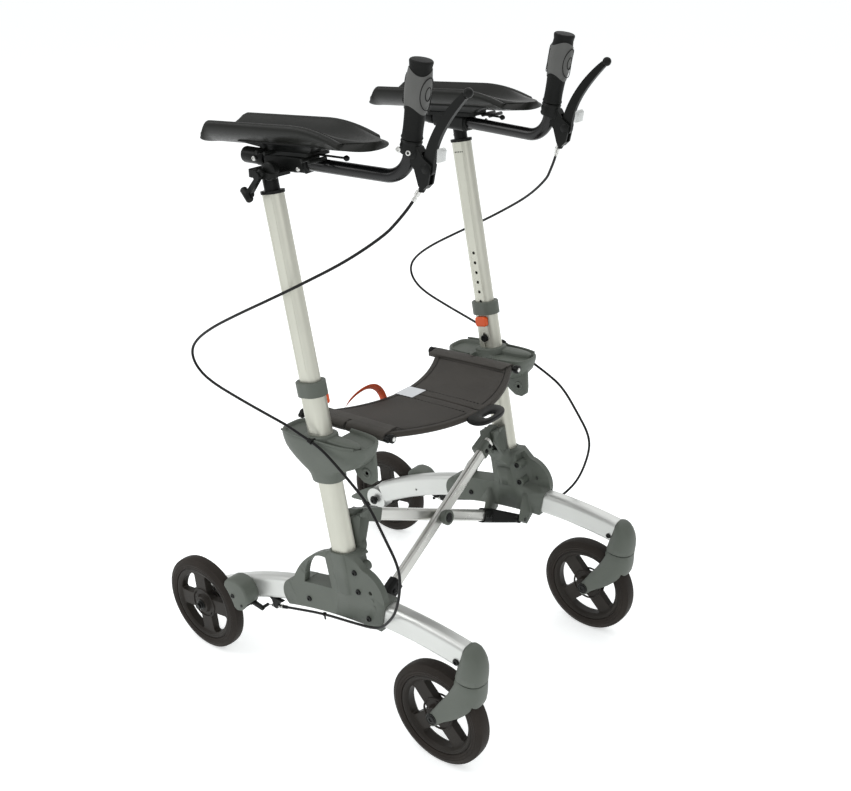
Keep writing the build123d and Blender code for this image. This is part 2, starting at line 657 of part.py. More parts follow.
def route_radii(points):
    """Arc radius at each corner: 0.45 of the shorter run over the tangent of half the turn."""
    radii = []
    for before, here, after in zip(points, points[1:], points[2:]):
        first, second = Vector(*here) - Vector(*before), Vector(*after) - Vector(*here)
        turn = math.radians(first.get_angle(second))
        radii.append(0.45 * min(first.length, second.length) / math.tan(turn / 2))
    return radii


cable_radii = route_radii(CABLE_ROUTE)
print("cable arc radii:", [round(r) for r in cable_radii])
with BuildPart() as brake_cable:
    with BuildLine() as cable_line:
        FilletPolyline(*CABLE_ROUTE, radius=cable_radii)
    start = Vector(*CABLE_ROUTE[1]) - Vector(*CABLE_ROUTE[0])
    with BuildSketch(Plane(CABLE_ROUTE[0], z_dir=start.normalized())):
        Circle(CABLE_R)
    sweep()
cable_length = sum(edge.length for edge in cable_line.edges())
print("cable length", round(cable_length), "volume", round(brake_cable.part.volume),
      "section x length", round(math.pi * CABLE_R ** 2 * cable_length))
save_pair("brake_cable", brake_cable.part)

# ---- folding brace: two struts crossed at a middle pivot ----
RISE = PIVOT_HIGH_T - PIVOT_LOW_T
STRUT_ANGLE = math.degrees(math.atan2(RISE, 2 * PIVOT_Y))
STRUT_LENGTH = math.hypot(RISE, 2 * PIVOT_Y)
STRUT_WIDTH, STRUT_THICK = 24.0, 15.0
END_LOW, END_HIGH = 62.0, 48.0     # yoke and fitting lengths, from their pivots to the tube


def strut_plane(s, mirrored):
    """Plane of one strut: local x runs from its lower pivot to its upper pivot."""
    side = 1 if mirrored else -1
    angle = math.radians(STRUT_ANGLE)
    along = Vector(0, -side * math.cos(angle), 0) + LEAN_DIR * math.sin(angle)
    normal = ACROSS_DIR * (1 if not mirrored else -1)
    return Plane(lean_point(s, PIVOT_LOW_T, side * PIVOT_Y), x_dir=tuple(along), z_dir=tuple(normal))


def make_strut(name, mirrored):
    """Tube, lower yoke and upper fitting of one strut; mirrored starts at the left lower pivot."""
    shift = -STRUT_SHIFT if mirrored else STRUT_SHIFT
    middle = strut_plane(PIVOT_S, mirrored)
    body = strut_plane(PIVOT_S + shift, mirrored)
    with BuildPart() as tube:
        with BuildSketch(body):
            with Locations((STRUT_LENGTH / 2 + (END_LOW - END_HIGH) / 2, 0)):
                Rectangle(STRUT_LENGTH - END_LOW - END_HIGH + 28, STRUT_WIDTH)
        extrude(amount=STRUT_THICK / 2, both=True)
        fillet(tube.edges().filter_by(Axis(body.origin, body.x_dir)), radius=6)
        with BuildSketch(body):
            with Locations((STRUT_LENGTH / 2, 0)):
                Circle(5 if mirrored else 5 + RUN_GAP)
        extrude(amount=STRUT_THICK, both=True, mode=Mode.SUBTRACT)
    with BuildPart() as yoke:
        with BuildSketch(Plane(middle.origin, x_dir=middle.z_dir, z_dir=middle.x_dir)):
            RectangleRounded(74, 19, 8)
        with BuildSketch(Plane(body.from_local_coords((END_LOW - 16, 0)), x_dir=middle.z_dir,
                               z_dir=middle.x_dir)):
            RectangleRounded(STRUT_THICK + 6, STRUT_WIDTH + 6, 7)
        loft()
        with BuildSketch(Plane(body.from_local_coords((END_LOW - 16, 0)), x_dir=middle.z_dir,
                               z_dir=middle.x_dir)):
            RectangleRounded(STRUT_THICK + 6, STRUT_WIDTH + 6, 7)
        extrude(amount=26)
        with BuildSketch(Plane(middle.origin - middle.z_dir * 37, z_dir=middle.z_dir)):
            Circle(9.5)
        extrude(amount=74)
        with BuildSketch(Plane(middle.origin - middle.z_dir * 60, z_dir=middle.z_dir)):
            Circle(PIN_R + RUN_GAP)
        extrude(amount=120, mode=Mode.SUBTRACT)
        add(tube.part, mode=Mode.SUBTRACT)
    with BuildPart() as fitting:
        with BuildSketch(middle):
            with BuildLine():
                near = STRUT_LENGTH - END_HIGH - 20
                Polyline((near, 14), (near, -14), (STRUT_LENGTH - 10, -10), (STRUT_LENGTH + 6, -9),
                         (STRUT_LENGTH + 10, 0), (STRUT_LENGTH + 6, 9), (STRUT_LENGTH - 10, 11), close=True)
            make_face()
            fillet(vertices(), radius=4)
        extrude(amount=8, both=True)
        with BuildSketch(Plane(body.from_local_coords((STRUT_LENGTH - END_HIGH - 20, 0)),
                               x_dir=middle.z_dir, z_dir=middle.x_dir)):
            RectangleRounded(STRUT_THICK + 5, STRUT_WIDTH + 5, 7)
        extrude(amount=26)
        with BuildSketch(Plane(middle.from_local_coords((STRUT_LENGTH, 0, -19)), z_dir=middle.z_dir)):
            Circle(PIN_R)
        extrude(amount=38)
        add(tube.part, mode=Mode.SUBTRACT)
    save(f"{name}_tube", tube.part)
    save(f"{name}_yoke", yoke.part)
    save(f"{name}_fitting", fitting.part)


make_strut("brace_front", False)
make_strut("brace_rear", True)

CROSS_T = (PIVOT_LOW_T + PIVOT_HIGH_T) / 2
with BuildPart() as brace_pivot:
    with BuildSketch(brace_plane(PIVOT_S - STRUT_SHIFT - STRUT_THICK / 2 - 4)):
        with Locations((0, CROSS_T)):
            Circle(5)
    extrude(amount=2 * STRUT_SHIFT + STRUT_THICK + 22)
    with BuildSketch(brace_plane(PIVOT_S + STRUT_SHIFT + STRUT_THICK / 2 + 0.3)):
        with Locations((0, CROSS_T)):
            Circle(11)
    extrude(amount=7)
    with BuildSketch(brace_plane(PIVOT_S + STRUT_SHIFT + STRUT_THICK / 2 + 7)):
        with Locations((0, CROSS_T)):
            Circle(14.5)
    extrude(amount=9)
    with BuildSketch(brace_plane(PIVOT_S - STRUT_SHIFT - STRUT_THICK / 2 - 7)):
        with Locations((0, CROSS_T)):
            Circle(9)
    extrude(amount=7)
save("brace_pivot", brace_pivot.part)

# ---- seat sling: two halves that hinge up from the rods, and the pull loop at the middle ----
SEAT_T = 10.0
MID_HALF = 22.0


def bow(y):
    """How far the seat's edges stand forward at y; nothing at the rods, most in the middle."""
    return SEAT_BOW * (1 - (y / ROD_Y) ** 2)


def seat_panel(y_from, y_to, top):
    """Plan outline of the seat between two y values, drawn on a plane at the seat's height."""
    rear = [(SEAT_REAR_X + bow(y), y) for y in (y_from, (y_from + y_to) / 2, y_to)]
    front = [(SEAT_FRONT_X + bow(y), y) for y in (y_to, (y_from + y_to) / 2, y_from)]
    with BuildSketch(Plane.XY.offset(top), mode=Mode.PRIVATE) as outline:
        with BuildLine():
            if abs(y_from + y_to) < 1:
                Line(rear[0], rear[2])
                Line(front[0], front[2])
            else:
                ThreePointArc(*rear)
                ThreePointArc(*front)
            Line(rear[2], front[0])
            Line(front[2], rear[0])
        make_face()
    return outline.sketch


with BuildPart() as seat_half:
    add(seat_panel(-ROD_Y + 7, -MID_HALF - 0.3, 556))
    extrude(amount=SEAT_T)
    for low, high in ((SEAT_REAR_X + 2, NOTCH_X[0] - 5), (NOTCH_X[1] + 5, SEAT_FRONT_X - 2)):
        with BuildSketch(Plane((low, -ROD_Y, rod_z(low)), x_dir=(0, 1, 0), z_dir=(1, 0, SLOPE))):
            Circle(8.5)
        extrude(amount=high - low)
    with BuildSketch(Plane((sum(NOTCH_X) / 2, -ROD_Y, 500))):
        Rectangle(NOTCH_X[1] - NOTCH_X[0] + 6, 50)
    extrude(amount=100, mode=Mode.SUBTRACT)
    with BuildSketch(Plane((0, -ROD_Y, ROD_Z), x_dir=(0, 1, 0), z_dir=(1, 0, SLOPE))):
        Circle(ROD_R + 0.3)
    extrude(amount=200, both=True, mode=Mode.SUBTRACT)
save_pair("seat_sling", seat_half.part)

with BuildPart() as seat_middle:
    add(seat_panel(-MID_HALF, MID_HALF, 556))
    extrude(amount=SEAT_T)
    with BuildSketch(Plane((SEAT_FRONT_X + SEAT_BOW + 19.5, 0, 556))):
        RectangleRounded(38, 88, 14)
        with Locations((-19, 0)):
            Rectangle(6, 40)
        with Locations((4, 0)):
            RectangleRounded(13, 30, 5, mode=Mode.SUBTRACT)
    extrude(amount=8)
save("seat_middle", seat_middle.part)
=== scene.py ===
import math

import bmesh
import bpy
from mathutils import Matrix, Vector


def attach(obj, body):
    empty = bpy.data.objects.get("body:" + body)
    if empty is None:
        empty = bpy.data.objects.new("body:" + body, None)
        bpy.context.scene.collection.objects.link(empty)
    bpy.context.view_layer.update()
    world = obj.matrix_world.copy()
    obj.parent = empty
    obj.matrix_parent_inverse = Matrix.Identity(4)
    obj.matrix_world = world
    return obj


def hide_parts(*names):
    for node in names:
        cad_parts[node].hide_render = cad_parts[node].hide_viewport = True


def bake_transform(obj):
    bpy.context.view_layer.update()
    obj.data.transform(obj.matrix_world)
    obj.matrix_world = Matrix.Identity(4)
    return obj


# Forearm-support rollator: the looks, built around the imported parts. Sizes are millimetres in the
# part's frame, and MM turns them into metres. Points of a side are (x, out, z), where out is the
# distance from the middle plane, so that one function makes the right-hand and the left-hand piece.

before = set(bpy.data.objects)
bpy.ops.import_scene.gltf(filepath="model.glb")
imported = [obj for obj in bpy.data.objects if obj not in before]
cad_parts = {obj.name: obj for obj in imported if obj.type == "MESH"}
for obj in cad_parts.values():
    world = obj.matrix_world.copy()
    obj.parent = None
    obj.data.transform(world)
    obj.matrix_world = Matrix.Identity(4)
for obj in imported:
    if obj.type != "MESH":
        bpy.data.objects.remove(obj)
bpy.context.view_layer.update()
MM = 0.001
SIDES = (("right", -1), ("left", 1))

LEAN = math.radians(11.6)
LEAN_DIR = Vector((-math.sin(LEAN), 0, math.cos(LEAN)))
ACROSS_DIR = Vector((math.cos(LEAN), 0, math.sin(LEAN)))
X_AXIS, Y_AXIS, Z_AXIS = Vector((1, 0, 0)), Vector((0, 1, 0)), Vector((0, 0, 1))
FRAME_Y, UPRIGHT_S, TUBE_HALF = 254.0, 137.0, 13.5
WHEEL_R, AXLE_X, REAR_Y = 100.0, 288.5, 289.0
CAST_HALF, LEG_HALF = 18.5, 16.0
SHOE_X, SHOE_Z, HOOD_OUT = -166.0, 150.0, 303.0
ROD_Y, ROD_Z, ROD_SLOPE = 190.0, 557.0, math.tan(math.radians(3.8))
SEAT_BOW, SEAT_REAR_X, SEAT_FRONT_X = 62.0, -70.0, 118.0
EAR_OUT, EAR_HALF, LEFT_EAR_STEP = 228.0, 4.0, 8.0    # the left ear stands a step further out
PIVOT_S, PIVOT_OUT, PIVOT_LOW_T, PIVOT_HIGH_T, STRUT_SHIFT = 138.0, 216.0, 184.0, 382.0, 10.0


def side_point(side, x, out, z):
    return Vector((x, side * out, z))


def lean_point(side, s, t, out):
    """A point at s across and t along the leaning upright."""
    p = ACROSS_DIR * s + LEAN_DIR * t
    return Vector((p.x, side * out, p.z))


def leg_z(x, offset=0.0):
    """Height of the arched leg's line at x, offset square to the arch."""
    return -684.0 + math.sqrt((941.0 + offset) ** 2 - (x - 218.0) ** 2)


# ---------------------------------------------------------------- materials
def node(tree, kind, **sockets):
    made = tree.nodes.new(kind)
    for key, value in sockets.items():
        made.inputs[key.replace("_", " ")].default_value = value
    return made


def in_object_space(tree, made):
    place = tree.nodes.new("ShaderNodeTexCoord")
    tree.links.new(place.outputs["Object"], made.inputs["Vector"])
    return made


def noise(tree, scale, stretch=(1, 1, 1), turn=(0, 0, 0), detail=4.0):
    """Noise in object space; stretch is a scale for each axis."""
    mapping = in_object_space(tree, node(tree, "ShaderNodeMapping", Scale=stretch, Rotation=turn))
    made = node(tree, "ShaderNodeTexNoise", Scale=scale, Detail=detail)
    tree.links.new(mapping.outputs["Vector"], made.inputs["Vector"])
    return made.outputs["Fac"]


def spread(tree, value, low, high):
    """The middle of a noise's range, spread over low to high."""
    made = node(tree, "ShaderNodeMapRange", From_Min=0.3, From_Max=0.7, To_Min=low, To_Max=high)
    tree.links.new(value, made.inputs["Value"])
    return made.outputs["Result"]


def tint(tree, value, colours):
    """Colours along a noise's range."""
    ramp = tree.nodes.new("ShaderNodeValToRGB")
    ramp.color_ramp.elements[0].position, ramp.color_ramp.elements[1].position = 0.3, 0.7
    for element, colour in zip(ramp.color_ramp.elements, colours):
        element.color = (*colour, 1)
    tree.links.new(value, ramp.inputs["Fac"])
    return ramp.outputs["Color"]


def scaled(colour, factor):
    return tuple(c * factor for c in colour)


def set_inputs(shader, values):
    for key, value in values.items():
        shader.inputs[key].default_value = value


def surface(name, colour, rough, metallic=0.0, grain=900, stretch=(1, 1, 1), turn=(0, 0, 0), relief=0.1,
            depth=0.0001, variation=0.12, rough_range=0.08, edge=0.0007, coat=0.0, sheen=0.0,
            height=None, gloss=0.5):
    """A finish with patchy colour, uneven gloss, fine relief and softened edges."""
    material = bpy.data.materials.new(name)
    material.use_nodes = True
    tree = material.node_tree
    shader = tree.nodes["Principled BSDF"]
    set_inputs(shader, {"Metallic": metallic, "Specular IOR Level": gloss, "Coat Weight": coat,
                        "Coat Roughness": 0.12, "Sheen Weight": sheen, "Sheen Roughness": 0.45})
    patches = noise(tree, 14, detail=6)
    colours = (scaled(colour, 1 - variation), scaled(colour, 1 + variation))
    tree.links.new(tint(tree, patches, colours), shader.inputs["Base Color"])
    fine = noise(tree, grain, stretch, turn)
    tree.links.new(spread(tree, fine, rough - rough_range, rough + rough_range), shader.inputs["Roughness"])
    bump = node(tree, "ShaderNodeBump", Strength=relief, Distance=depth)
    tree.links.new(height(tree) if height else fine, bump.inputs["Height"])
    soft = node(tree, "ShaderNodeBevel", Radius=edge)
    soft.samples = 6
    tree.links.new(soft.outputs["Normal"], bump.inputs["Normal"])
    tree.links.new(bump.outputs["Normal"], shader.inputs["Normal"])
    return material


def wave(tree, axis, period):
    """Even bands across an axis, a period apart in metres."""
    made = in_object_space(tree, node(tree, "ShaderNodeTexWave", Scale=math.tau / 20 / period))
    made.bands_direction = axis
    return made.outputs["Fac"]


THREAD_PITCH, GRIP_RIB_PITCH = 0.0011, 0.0032


def weave(tree):
    """Plain weave: threads along X and Y that pass over each other."""
    both = tree.nodes.new("ShaderNodeMath")
    both.operation = "MULTIPLY"
    for axis, socket in zip("XY", both.inputs):
        tree.links.new(wave(tree, axis, THREAD_PITCH), socket)
    return both.outputs[0]


def leather_grain(tree):
    return in_object_space(tree, node(tree, "ShaderNodeTexVoronoi", Scale=620)).outputs["Distance"]


def ribbed(tree):
    return wave(tree, "Z", GRIP_RIB_PITCH)


ALU = surface("anodised_upright", (0.52, 0.52, 0.455), 0.4, metallic=0.75, grain=240,
              stretch=(1, 1, 0.02), turn=(0, LEAN, 0), depth=0.00008, variation=0.025, rough_range=0.05)
ALU_LEG = surface("anodised_leg", (0.6, 0.61, 0.59), 0.38, metallic=0.8, grain=240,
                  stretch=(0.02, 1, 1), depth=0.00008, variation=0.025, rough_range=0.05)
ALU_STRUT = surface("anodised_strut", (0.6, 0.6, 0.57), 0.3, metallic=0.85, grain=240,
                    stretch=(1, 0.05, 0.05), relief=0.06, depth=0.00008, variation=0.025, rough_range=0.05)
GREY = surface("grey_moulded_plastic", (0.088, 0.1, 0.084), 0.5, variation=0.06, edge=0.0012, gloss=0.4)
BLACK = surface("black_moulded_plastic", (0.0065, 0.007, 0.0065), 0.38, relief=0.14, variation=0.2,
                edge=0.0008, gloss=0.14)
POWDER = surface("black_powder_coat", (0.0045, 0.0047, 0.005), 0.26, grain=1300, relief=0.06,
                 variation=0.15, coat=0.3, gloss=0.22)
TYRE = surface("tyre_rubber", (0.022, 0.018, 0.015), 0.62, grain=500, relief=0.2, depth=0.00025,
               variation=0.2, edge=0.0006, gloss=0.14)
RIM = surface("rim_plastic", (0.02, 0.017, 0.014), 0.46, grain=650, relief=0.16, depth=0.0002,
              variation=0.18, edge=0.0016, gloss=0.16)
VINYL = surface("black_vinyl", (0.0085, 0.009, 0.0075), 0.4, grain=300, relief=0.16, depth=0.0002,
                variation=0.15, height=leather_grain, gloss=0.2)
RUBBER = surface("grip_rubber", (0.0075, 0.008, 0.0075), 0.55, relief=0.25, depth=0.0003,
                 variation=0.15, height=ribbed, gloss=0.12)
GRIP_GREY = surface("grip_insert", (0.085, 0.086, 0.082), 0.52, grain=1200, relief=0.2, depth=0.0002,
                    variation=0.08, gloss=0.4)
FABRIC = surface("charcoal_woven_nylon", (0.038, 0.034, 0.029), 0.8, grain=500, relief=0.45,
                 depth=0.0004, sheen=0.1, height=weave, gloss=0.2)
HEM = surface("binding_tape", (0.048, 0.044, 0.038), 0.72, grain=500, relief=0.4, depth=0.0003,
              sheen=0.08, height=weave, gloss=0.25)
WEBBING = surface("orange_webbing", (0.72, 0.085, 0.01), 0.62, grain=500, relief=0.6, depth=0.0004,
                  variation=0.1, sheen=0.15, height=weave, gloss=0.25)
ORANGE = surface("orange_plastic", (0.66, 0.085, 0.012), 0.38, relief=0.08, variation=0.06, gloss=0.4)
STEEL = surface("zinc_plated_steel", (0.6, 0.6, 0.58), 0.28, metallic=1.0, grain=500, variation=0.08,
                edge=0.0003)
DARK_STEEL = surface("blackened_steel", (0.016, 0.017, 0.016), 0.34, metallic=0.5, grain=700,
                     variation=0.15, edge=0.0003, gloss=0.3)
CASING = surface("cable_casing", (0.005, 0.005, 0.005), 0.36, grain=700, variation=0.1, gloss=0.2)
PATCH = surface("satin_label", (0.64, 0.66, 0.68), 0.6, grain=700, relief=0.15, depth=0.0002,
                variation=0.04, height=weave, gloss=0.2)
FROSTED = surface("frosted_block", (0.5, 0.51, 0.5), 0.25, metallic=0.25, grain=500, depth=0.0002,
                  variation=0.06, coat=0.6)
THREAD = surface("stitch_thread", (0.007, 0.007, 0.006), 0.8, relief=0.3, depth=0.0002, variation=0.2,
                 gloss=0.2)

SLOTS = {finish.name: slot for slot, finishes in {
    "silver_tube": (ALU,), "grey_casting": (GREY,), "black_plastic": (BLACK,), "tyre": (TYRE,),
    "rim": (RIM,), "pad": (VINYL,), "grip": (RUBBER, GRIP_GREY), "fabric": (FABRIC, HEM, THREAD, PATCH),
    "orange": (WEBBING,), "steel": (STEEL, DARK_STEEL, FROSTED), "cable": (CASING,)}.items()
    for finish in finishes}
CAD_FINISH = {
    "leg": ALU_LEG, "lower_tube": ALU, "upper_tube": ALU, "collar": GREY, "height_button": ORANGE,
    "lower_casting": GREY, "seat_bracket": GREY, "head_cap": GREY, "rear_housing": GREY,
    "front_rim": RIM, "front_tyre": TYRE, "rear_rim": RIM, "rear_tyre": TYRE, "caster_fork": GREY,
    "brake_shoe": BLACK, "frame_fasteners": DARK_STEEL, "support_post": BLACK, "support_clamp": BLACK,
    "forearm_pad": VINYL, "clamp_lever": BLACK, "handle_tube": POWDER, "grip": RUBBER,
    "lever_bracket": BLACK, "brake_lever": BLACK, "brake_cable": CASING, "seat_sling": FABRIC,
    "seat_middle": FABRIC, "brace_front_tube": ALU_STRUT, "brace_rear_tube": ALU_STRUT,
    "brace_front_yoke": BLACK, "brace_rear_yoke": BLACK, "brace_front_fitting": GREY,
    "brace_rear_fitting": GREY, "brace_pivot": GREY,
}


def finish_cad_nodes():
    for name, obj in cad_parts.items():
        kind = name.split("_", 1)[1] if name.startswith(("right_", "left_")) else name
        obj.data.materials.clear()
        obj.data.materials.append(CAD_FINISH[kind])


# ---------------------------------------------------------------- mesh tools
def settle(obj, material, body, angle=35):
    """Give a new piece its finish, its shading and its body."""
    obj.data.materials.clear()
    obj.data.materials.append(material)
    if obj.type == "MESH":
        for polygon in obj.data.polygons:
            polygon.use_smooth = True
        obj.data.set_sharp_from_angle(angle=math.radians(angle))
    if body:
        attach(obj, body)
    return obj


def linked(name, data):
    obj = bpy.data.objects.new(name, data)
    bpy.context.scene.collection.objects.link(obj)
    return obj


def welded(name, mesh, reach):
    """An object from a mesh, with points nearer than reach joined and its faces turned outwards."""
    shape = bmesh.new()
    shape.from_mesh(mesh)
    bmesh.ops.remove_doubles(shape, verts=shape.verts, dist=reach)
    bmesh.ops.recalc_face_normals(shape, faces=shape.faces)
    shape.to_mesh(mesh)
    shape.free()
    return linked(name, mesh)


def mesh_object(name, points, faces):
    mesh = bpy.data.meshes.new(name)
    mesh.from_pydata([Vector(p) * MM for p in points], [], faces)
    return welded(name, mesh, 1e-6)


def rings_data(rings, closed=True, caps=True):
    """Points and faces through rings of equal length."""
    count = len(rings[0])
    points = [p for ring in rings for p in ring]
    faces = []
    for r in range(len(rings) - 1):
        for i in range(count if closed else count - 1):
            j = (i + 1) % count
            a, b = r * count, (r + 1) * count
            faces.append((a + i, a + j, b + j, b + i))
    if caps:
        faces.append(tuple(range(count)))
        faces.append(tuple(range((len(rings) - 1) * count, len(rings) * count)))
    return points, faces


def loft(name, rings, closed=True, caps=True):
    points, faces = rings_data(rings, closed, caps)
    return mesh_object(name, points, faces)


def turned_rings(profile, origin, axis, count=40):
    """Rings of a turned shape: profile gives (radius, distance along the axis)."""
    w = Vector(axis).normalized()
    u = (X_AXIS if abs(w.z) > 0.95 else Z_AXIS).cross(w).normalized()
    v = w.cross(u)
    turns = [math.tau * k / count for k in range(count)]
    return [[Vector(origin) + w * along + (u * math.cos(a) + v * math.sin(a)) * max(radius, 0.01)
             for a in turns] for radius, along in profile]


def turned(name, profile, origin, axis, count=40):
    return loft(name, turned_rings(profile, origin, axis, count))


def gather(name, parts):
    """One piece out of several meshes, kept as separate shells."""
    shape = bmesh.new()
    for part in parts:
        shape.from_mesh(part.data)
        bpy.data.objects.remove(part)
    mesh = bpy.data.meshes.new(name)
    shape.to_mesh(mesh)
    shape.free()
    return linked(name, mesh)


def joined(name, parts, material, body, angle=35):
    return settle(gather(name, parts), material, body, angle)


def soften(obj, width, segments=3, angle=30):
    """Round the edges of a mesh for good."""
    modifier = obj.modifiers.new("round", "BEVEL")
    modifier.width, modifier.segments = width * MM, segments
    modifier.limit_method, modifier.angle_limit = "ANGLE", math.radians(angle)
    modifier.harden_normals = False
    return apply_modifiers(obj)


def evaluated_mesh(obj):
    graph = bpy.context.evaluated_depsgraph_get()
    graph.update()
    return bpy.data.meshes.new_from_object(obj.evaluated_get(graph))


def apply_modifiers(obj):
    mesh = evaluated_mesh(obj)
    obj.modifiers.clear()
    obj.data = mesh
    return obj


def smoothed(obj):
    modifier = obj.modifiers.new("smooth", "SUBSURF")
    modifier.levels = modifier.render_levels = 1
    return apply_modifiers(obj)


def cut_away(obj, tool):
    """Take the tool's volume out of a mesh for good."""
    modifier = obj.modifiers.new("cut", "BOOLEAN")
    modifier.operation, modifier.solver, modifier.object = "DIFFERENCE", "EXACT", tool
    apply_modifiers(obj)
    bpy.data.objects.remove(tool)
    return obj


def side_plate(name, outline, side, low, high):
    """A plate with a side-view outline of (x, z), from low to high outwards."""
    return loft(name, [[side_point(side, x, out, z) for x, z in outline] for out in (low, high)])


def rod(name, points, radius, resolution=4, smooth=False):
    """A round bar along points, as a curve."""
    curve = bpy.data.curves.new(name, "CURVE")
    curve.dimensions = "3D"
    curve.bevel_depth, curve.bevel_resolution, curve.use_fill_caps = radius * MM, resolution, True
    spline = curve.splines.new("NURBS" if smooth else "POLY")
    spline.points.add(len(points) - 1)
    for point, place in zip(spline.points, points):
        point.co = (*(Vector(place) * MM), 1)
    if smooth:
        spline.order_u = 3
        spline.use_endpoint_u = True
        spline.resolution_u = 8
    return linked(name, curve)


def as_mesh(obj):
    """The mesh of a curve object, in its place."""
    mesh, name = evaluated_mesh(obj), obj.name
    bpy.data.objects.remove(obj)
    return linked(name, mesh)


def socket_bolt(origin, axis, radius=5.0, height=3.0):
    """A button-head bolt with a round socket."""
    profile = [(radius * share, height * lift) for share, lift in (
        (1, 0.35), (0.86, 0.8), (0.6, 1), (0.46, 1), (0.42, 0.35), (0, 0.3))]
    profile = [(radius, -0.5)] + profile
    return turned("bolt", profile, origin, axis, 24)


# ---------------------------------------------------------------- wheels
def wheel_tyre(name, centre, width, body, node_name):
    """Solid tyre with a rounded tread, side steps and fine grooves."""
    half = width / 2
    side = [(78.2, half - 4.5), (79, half - 1.6), (82, half - 0.6), (83, half - 1.3), (84, half - 0.5),
            (87.5, half), (88.4, half - 0.8), (89.3, half - 0.2), (92.5, half - 1.2), (95.5, half - 3.2)]
    crown = []
    steps = 9
    for k in range(steps + 1):
        y = (half - 4.4) * math.cos(math.pi * k / steps)
        crown.append((WHEEL_R - 2.6 * (abs(y) / half) ** 2.4, y))
    profile = side + crown + [(r, -y) for r, y in reversed(side)]
    rings = turned_rings(profile, centre, Y_AXIS, 96)
    obj = loft(name, rings + [rings[0]], caps=False)
    settle(obj, TYRE, body, 50)
    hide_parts(node_name)


def wheels(word, side):
    for end, x, out, width in (("front", AXLE_X, FRAME_Y, 32), ("rear", -AXLE_X, REAR_Y, 27)):
        wheel_tyre(f"{word}_{end}_tread", side_point(side, x, out, WHEEL_R), width,
                   f"{word}_{end}_wheel", f"{word}_{end}_tyre")
    for end, x, out, half in (("front", AXLE_X, FRAME_Y, 16), ("rear", -AXLE_X, REAR_Y, 13.5)):
        rings = []
        for face in (-1, 1):
            for radius, high, low in ((74.5, half - 2.4, half - 4.2), (30.5, 9.4, 7.6)):
                profile = [(radius + 2.2, face * low), (radius + 1.2, face * high),
                           (radius - 1.2, face * high), (radius - 2.2, face * low)]
                shape = turned_rings(profile, side_point(side, x, out, WHEEL_R), Y_AXIS, 72)
                rings.append(loft("ring", shape + [shape[0]], caps=False))
        joined(f"{word}_{end}_rim_rings", rings, RIM, f"{word}_{end}_wheel")


# ---------------------------------------------------------------- forearm pads
PAD_ORIGIN, PAD_SLOPE, PAD_OUT = Vector((-30, 0, 1046)), 0.075, 214.0


def pad_point(side, x, y, z):
    """Local pad place: x along the forearm, y across it, z square to it."""
    q = math.hypot(1, PAD_SLOPE)
    along, up = Vector((1, 0, PAD_SLOPE)) / q, Vector((-PAD_SLOPE, 0, 1)) / q
    p = PAD_ORIGIN + along * x + up * z
    return Vector((p.x, side * (PAD_OUT + y), p.z))


PAD_REAR, PAD_FRONT, PAD_HALF, BOWL = -196.0, 164.0, 50.0, 28


def pad_section(rim, trough, base):
    """Outline of the padded trough in (y, z): bowl, rolled rim, hollow for the arm, other rim."""
    section = []
    for k in range(BOWL + 1):
        a = math.pi * (k / BOWL - 0.5)
        section.append((PAD_HALF * math.sin(a), base + (rim - 9 - base) * (1 - math.cos(a)) ** 0.82))
    roll = [(PAD_HALF - 6.5 + 6.5 * math.cos(a), rim - 7 + 7 * math.sin(a))
            for a in [math.pi * k / 6.5 for k in range(1, 7)]]
    section += roll
    inner = PAD_HALF - 13.5
    for k in range(BOWL + 1):
        y = inner * (1 - 2 * k / BOWL)
        section.append((y, trough + (rim - 1.5 - trough) * abs(y / inner) ** 1.9))
    return section + [(-y, z) for y, z in reversed(roll)]


def pad_end(y, corner, squash):
    """How far the pad's end curves back at y: a rounded corner, squash times as long as it is wide."""
    over = min(abs(y) - (PAD_HALF - corner), corner)
    return 0.0 if over <= 0 else squash * (corner - math.sqrt(corner ** 2 - over ** 2))


def pad_cap(first):
    """Faces that close an end of the pad, in pairs from the bowl to the hollow."""
    far, total = BOWL + 7, 2 * BOWL + 14
    faces = [(first + k, first + k + 1, first + far + BOWL - k - 1, first + far + BOWL - k)
             for k in range(BOWL)]
    faces.append(tuple(first + k for k in range(BOWL, far + 1)))
    faces.append(tuple(first + k % total for k in range(far + BOWL, total + 1)))
    return faces


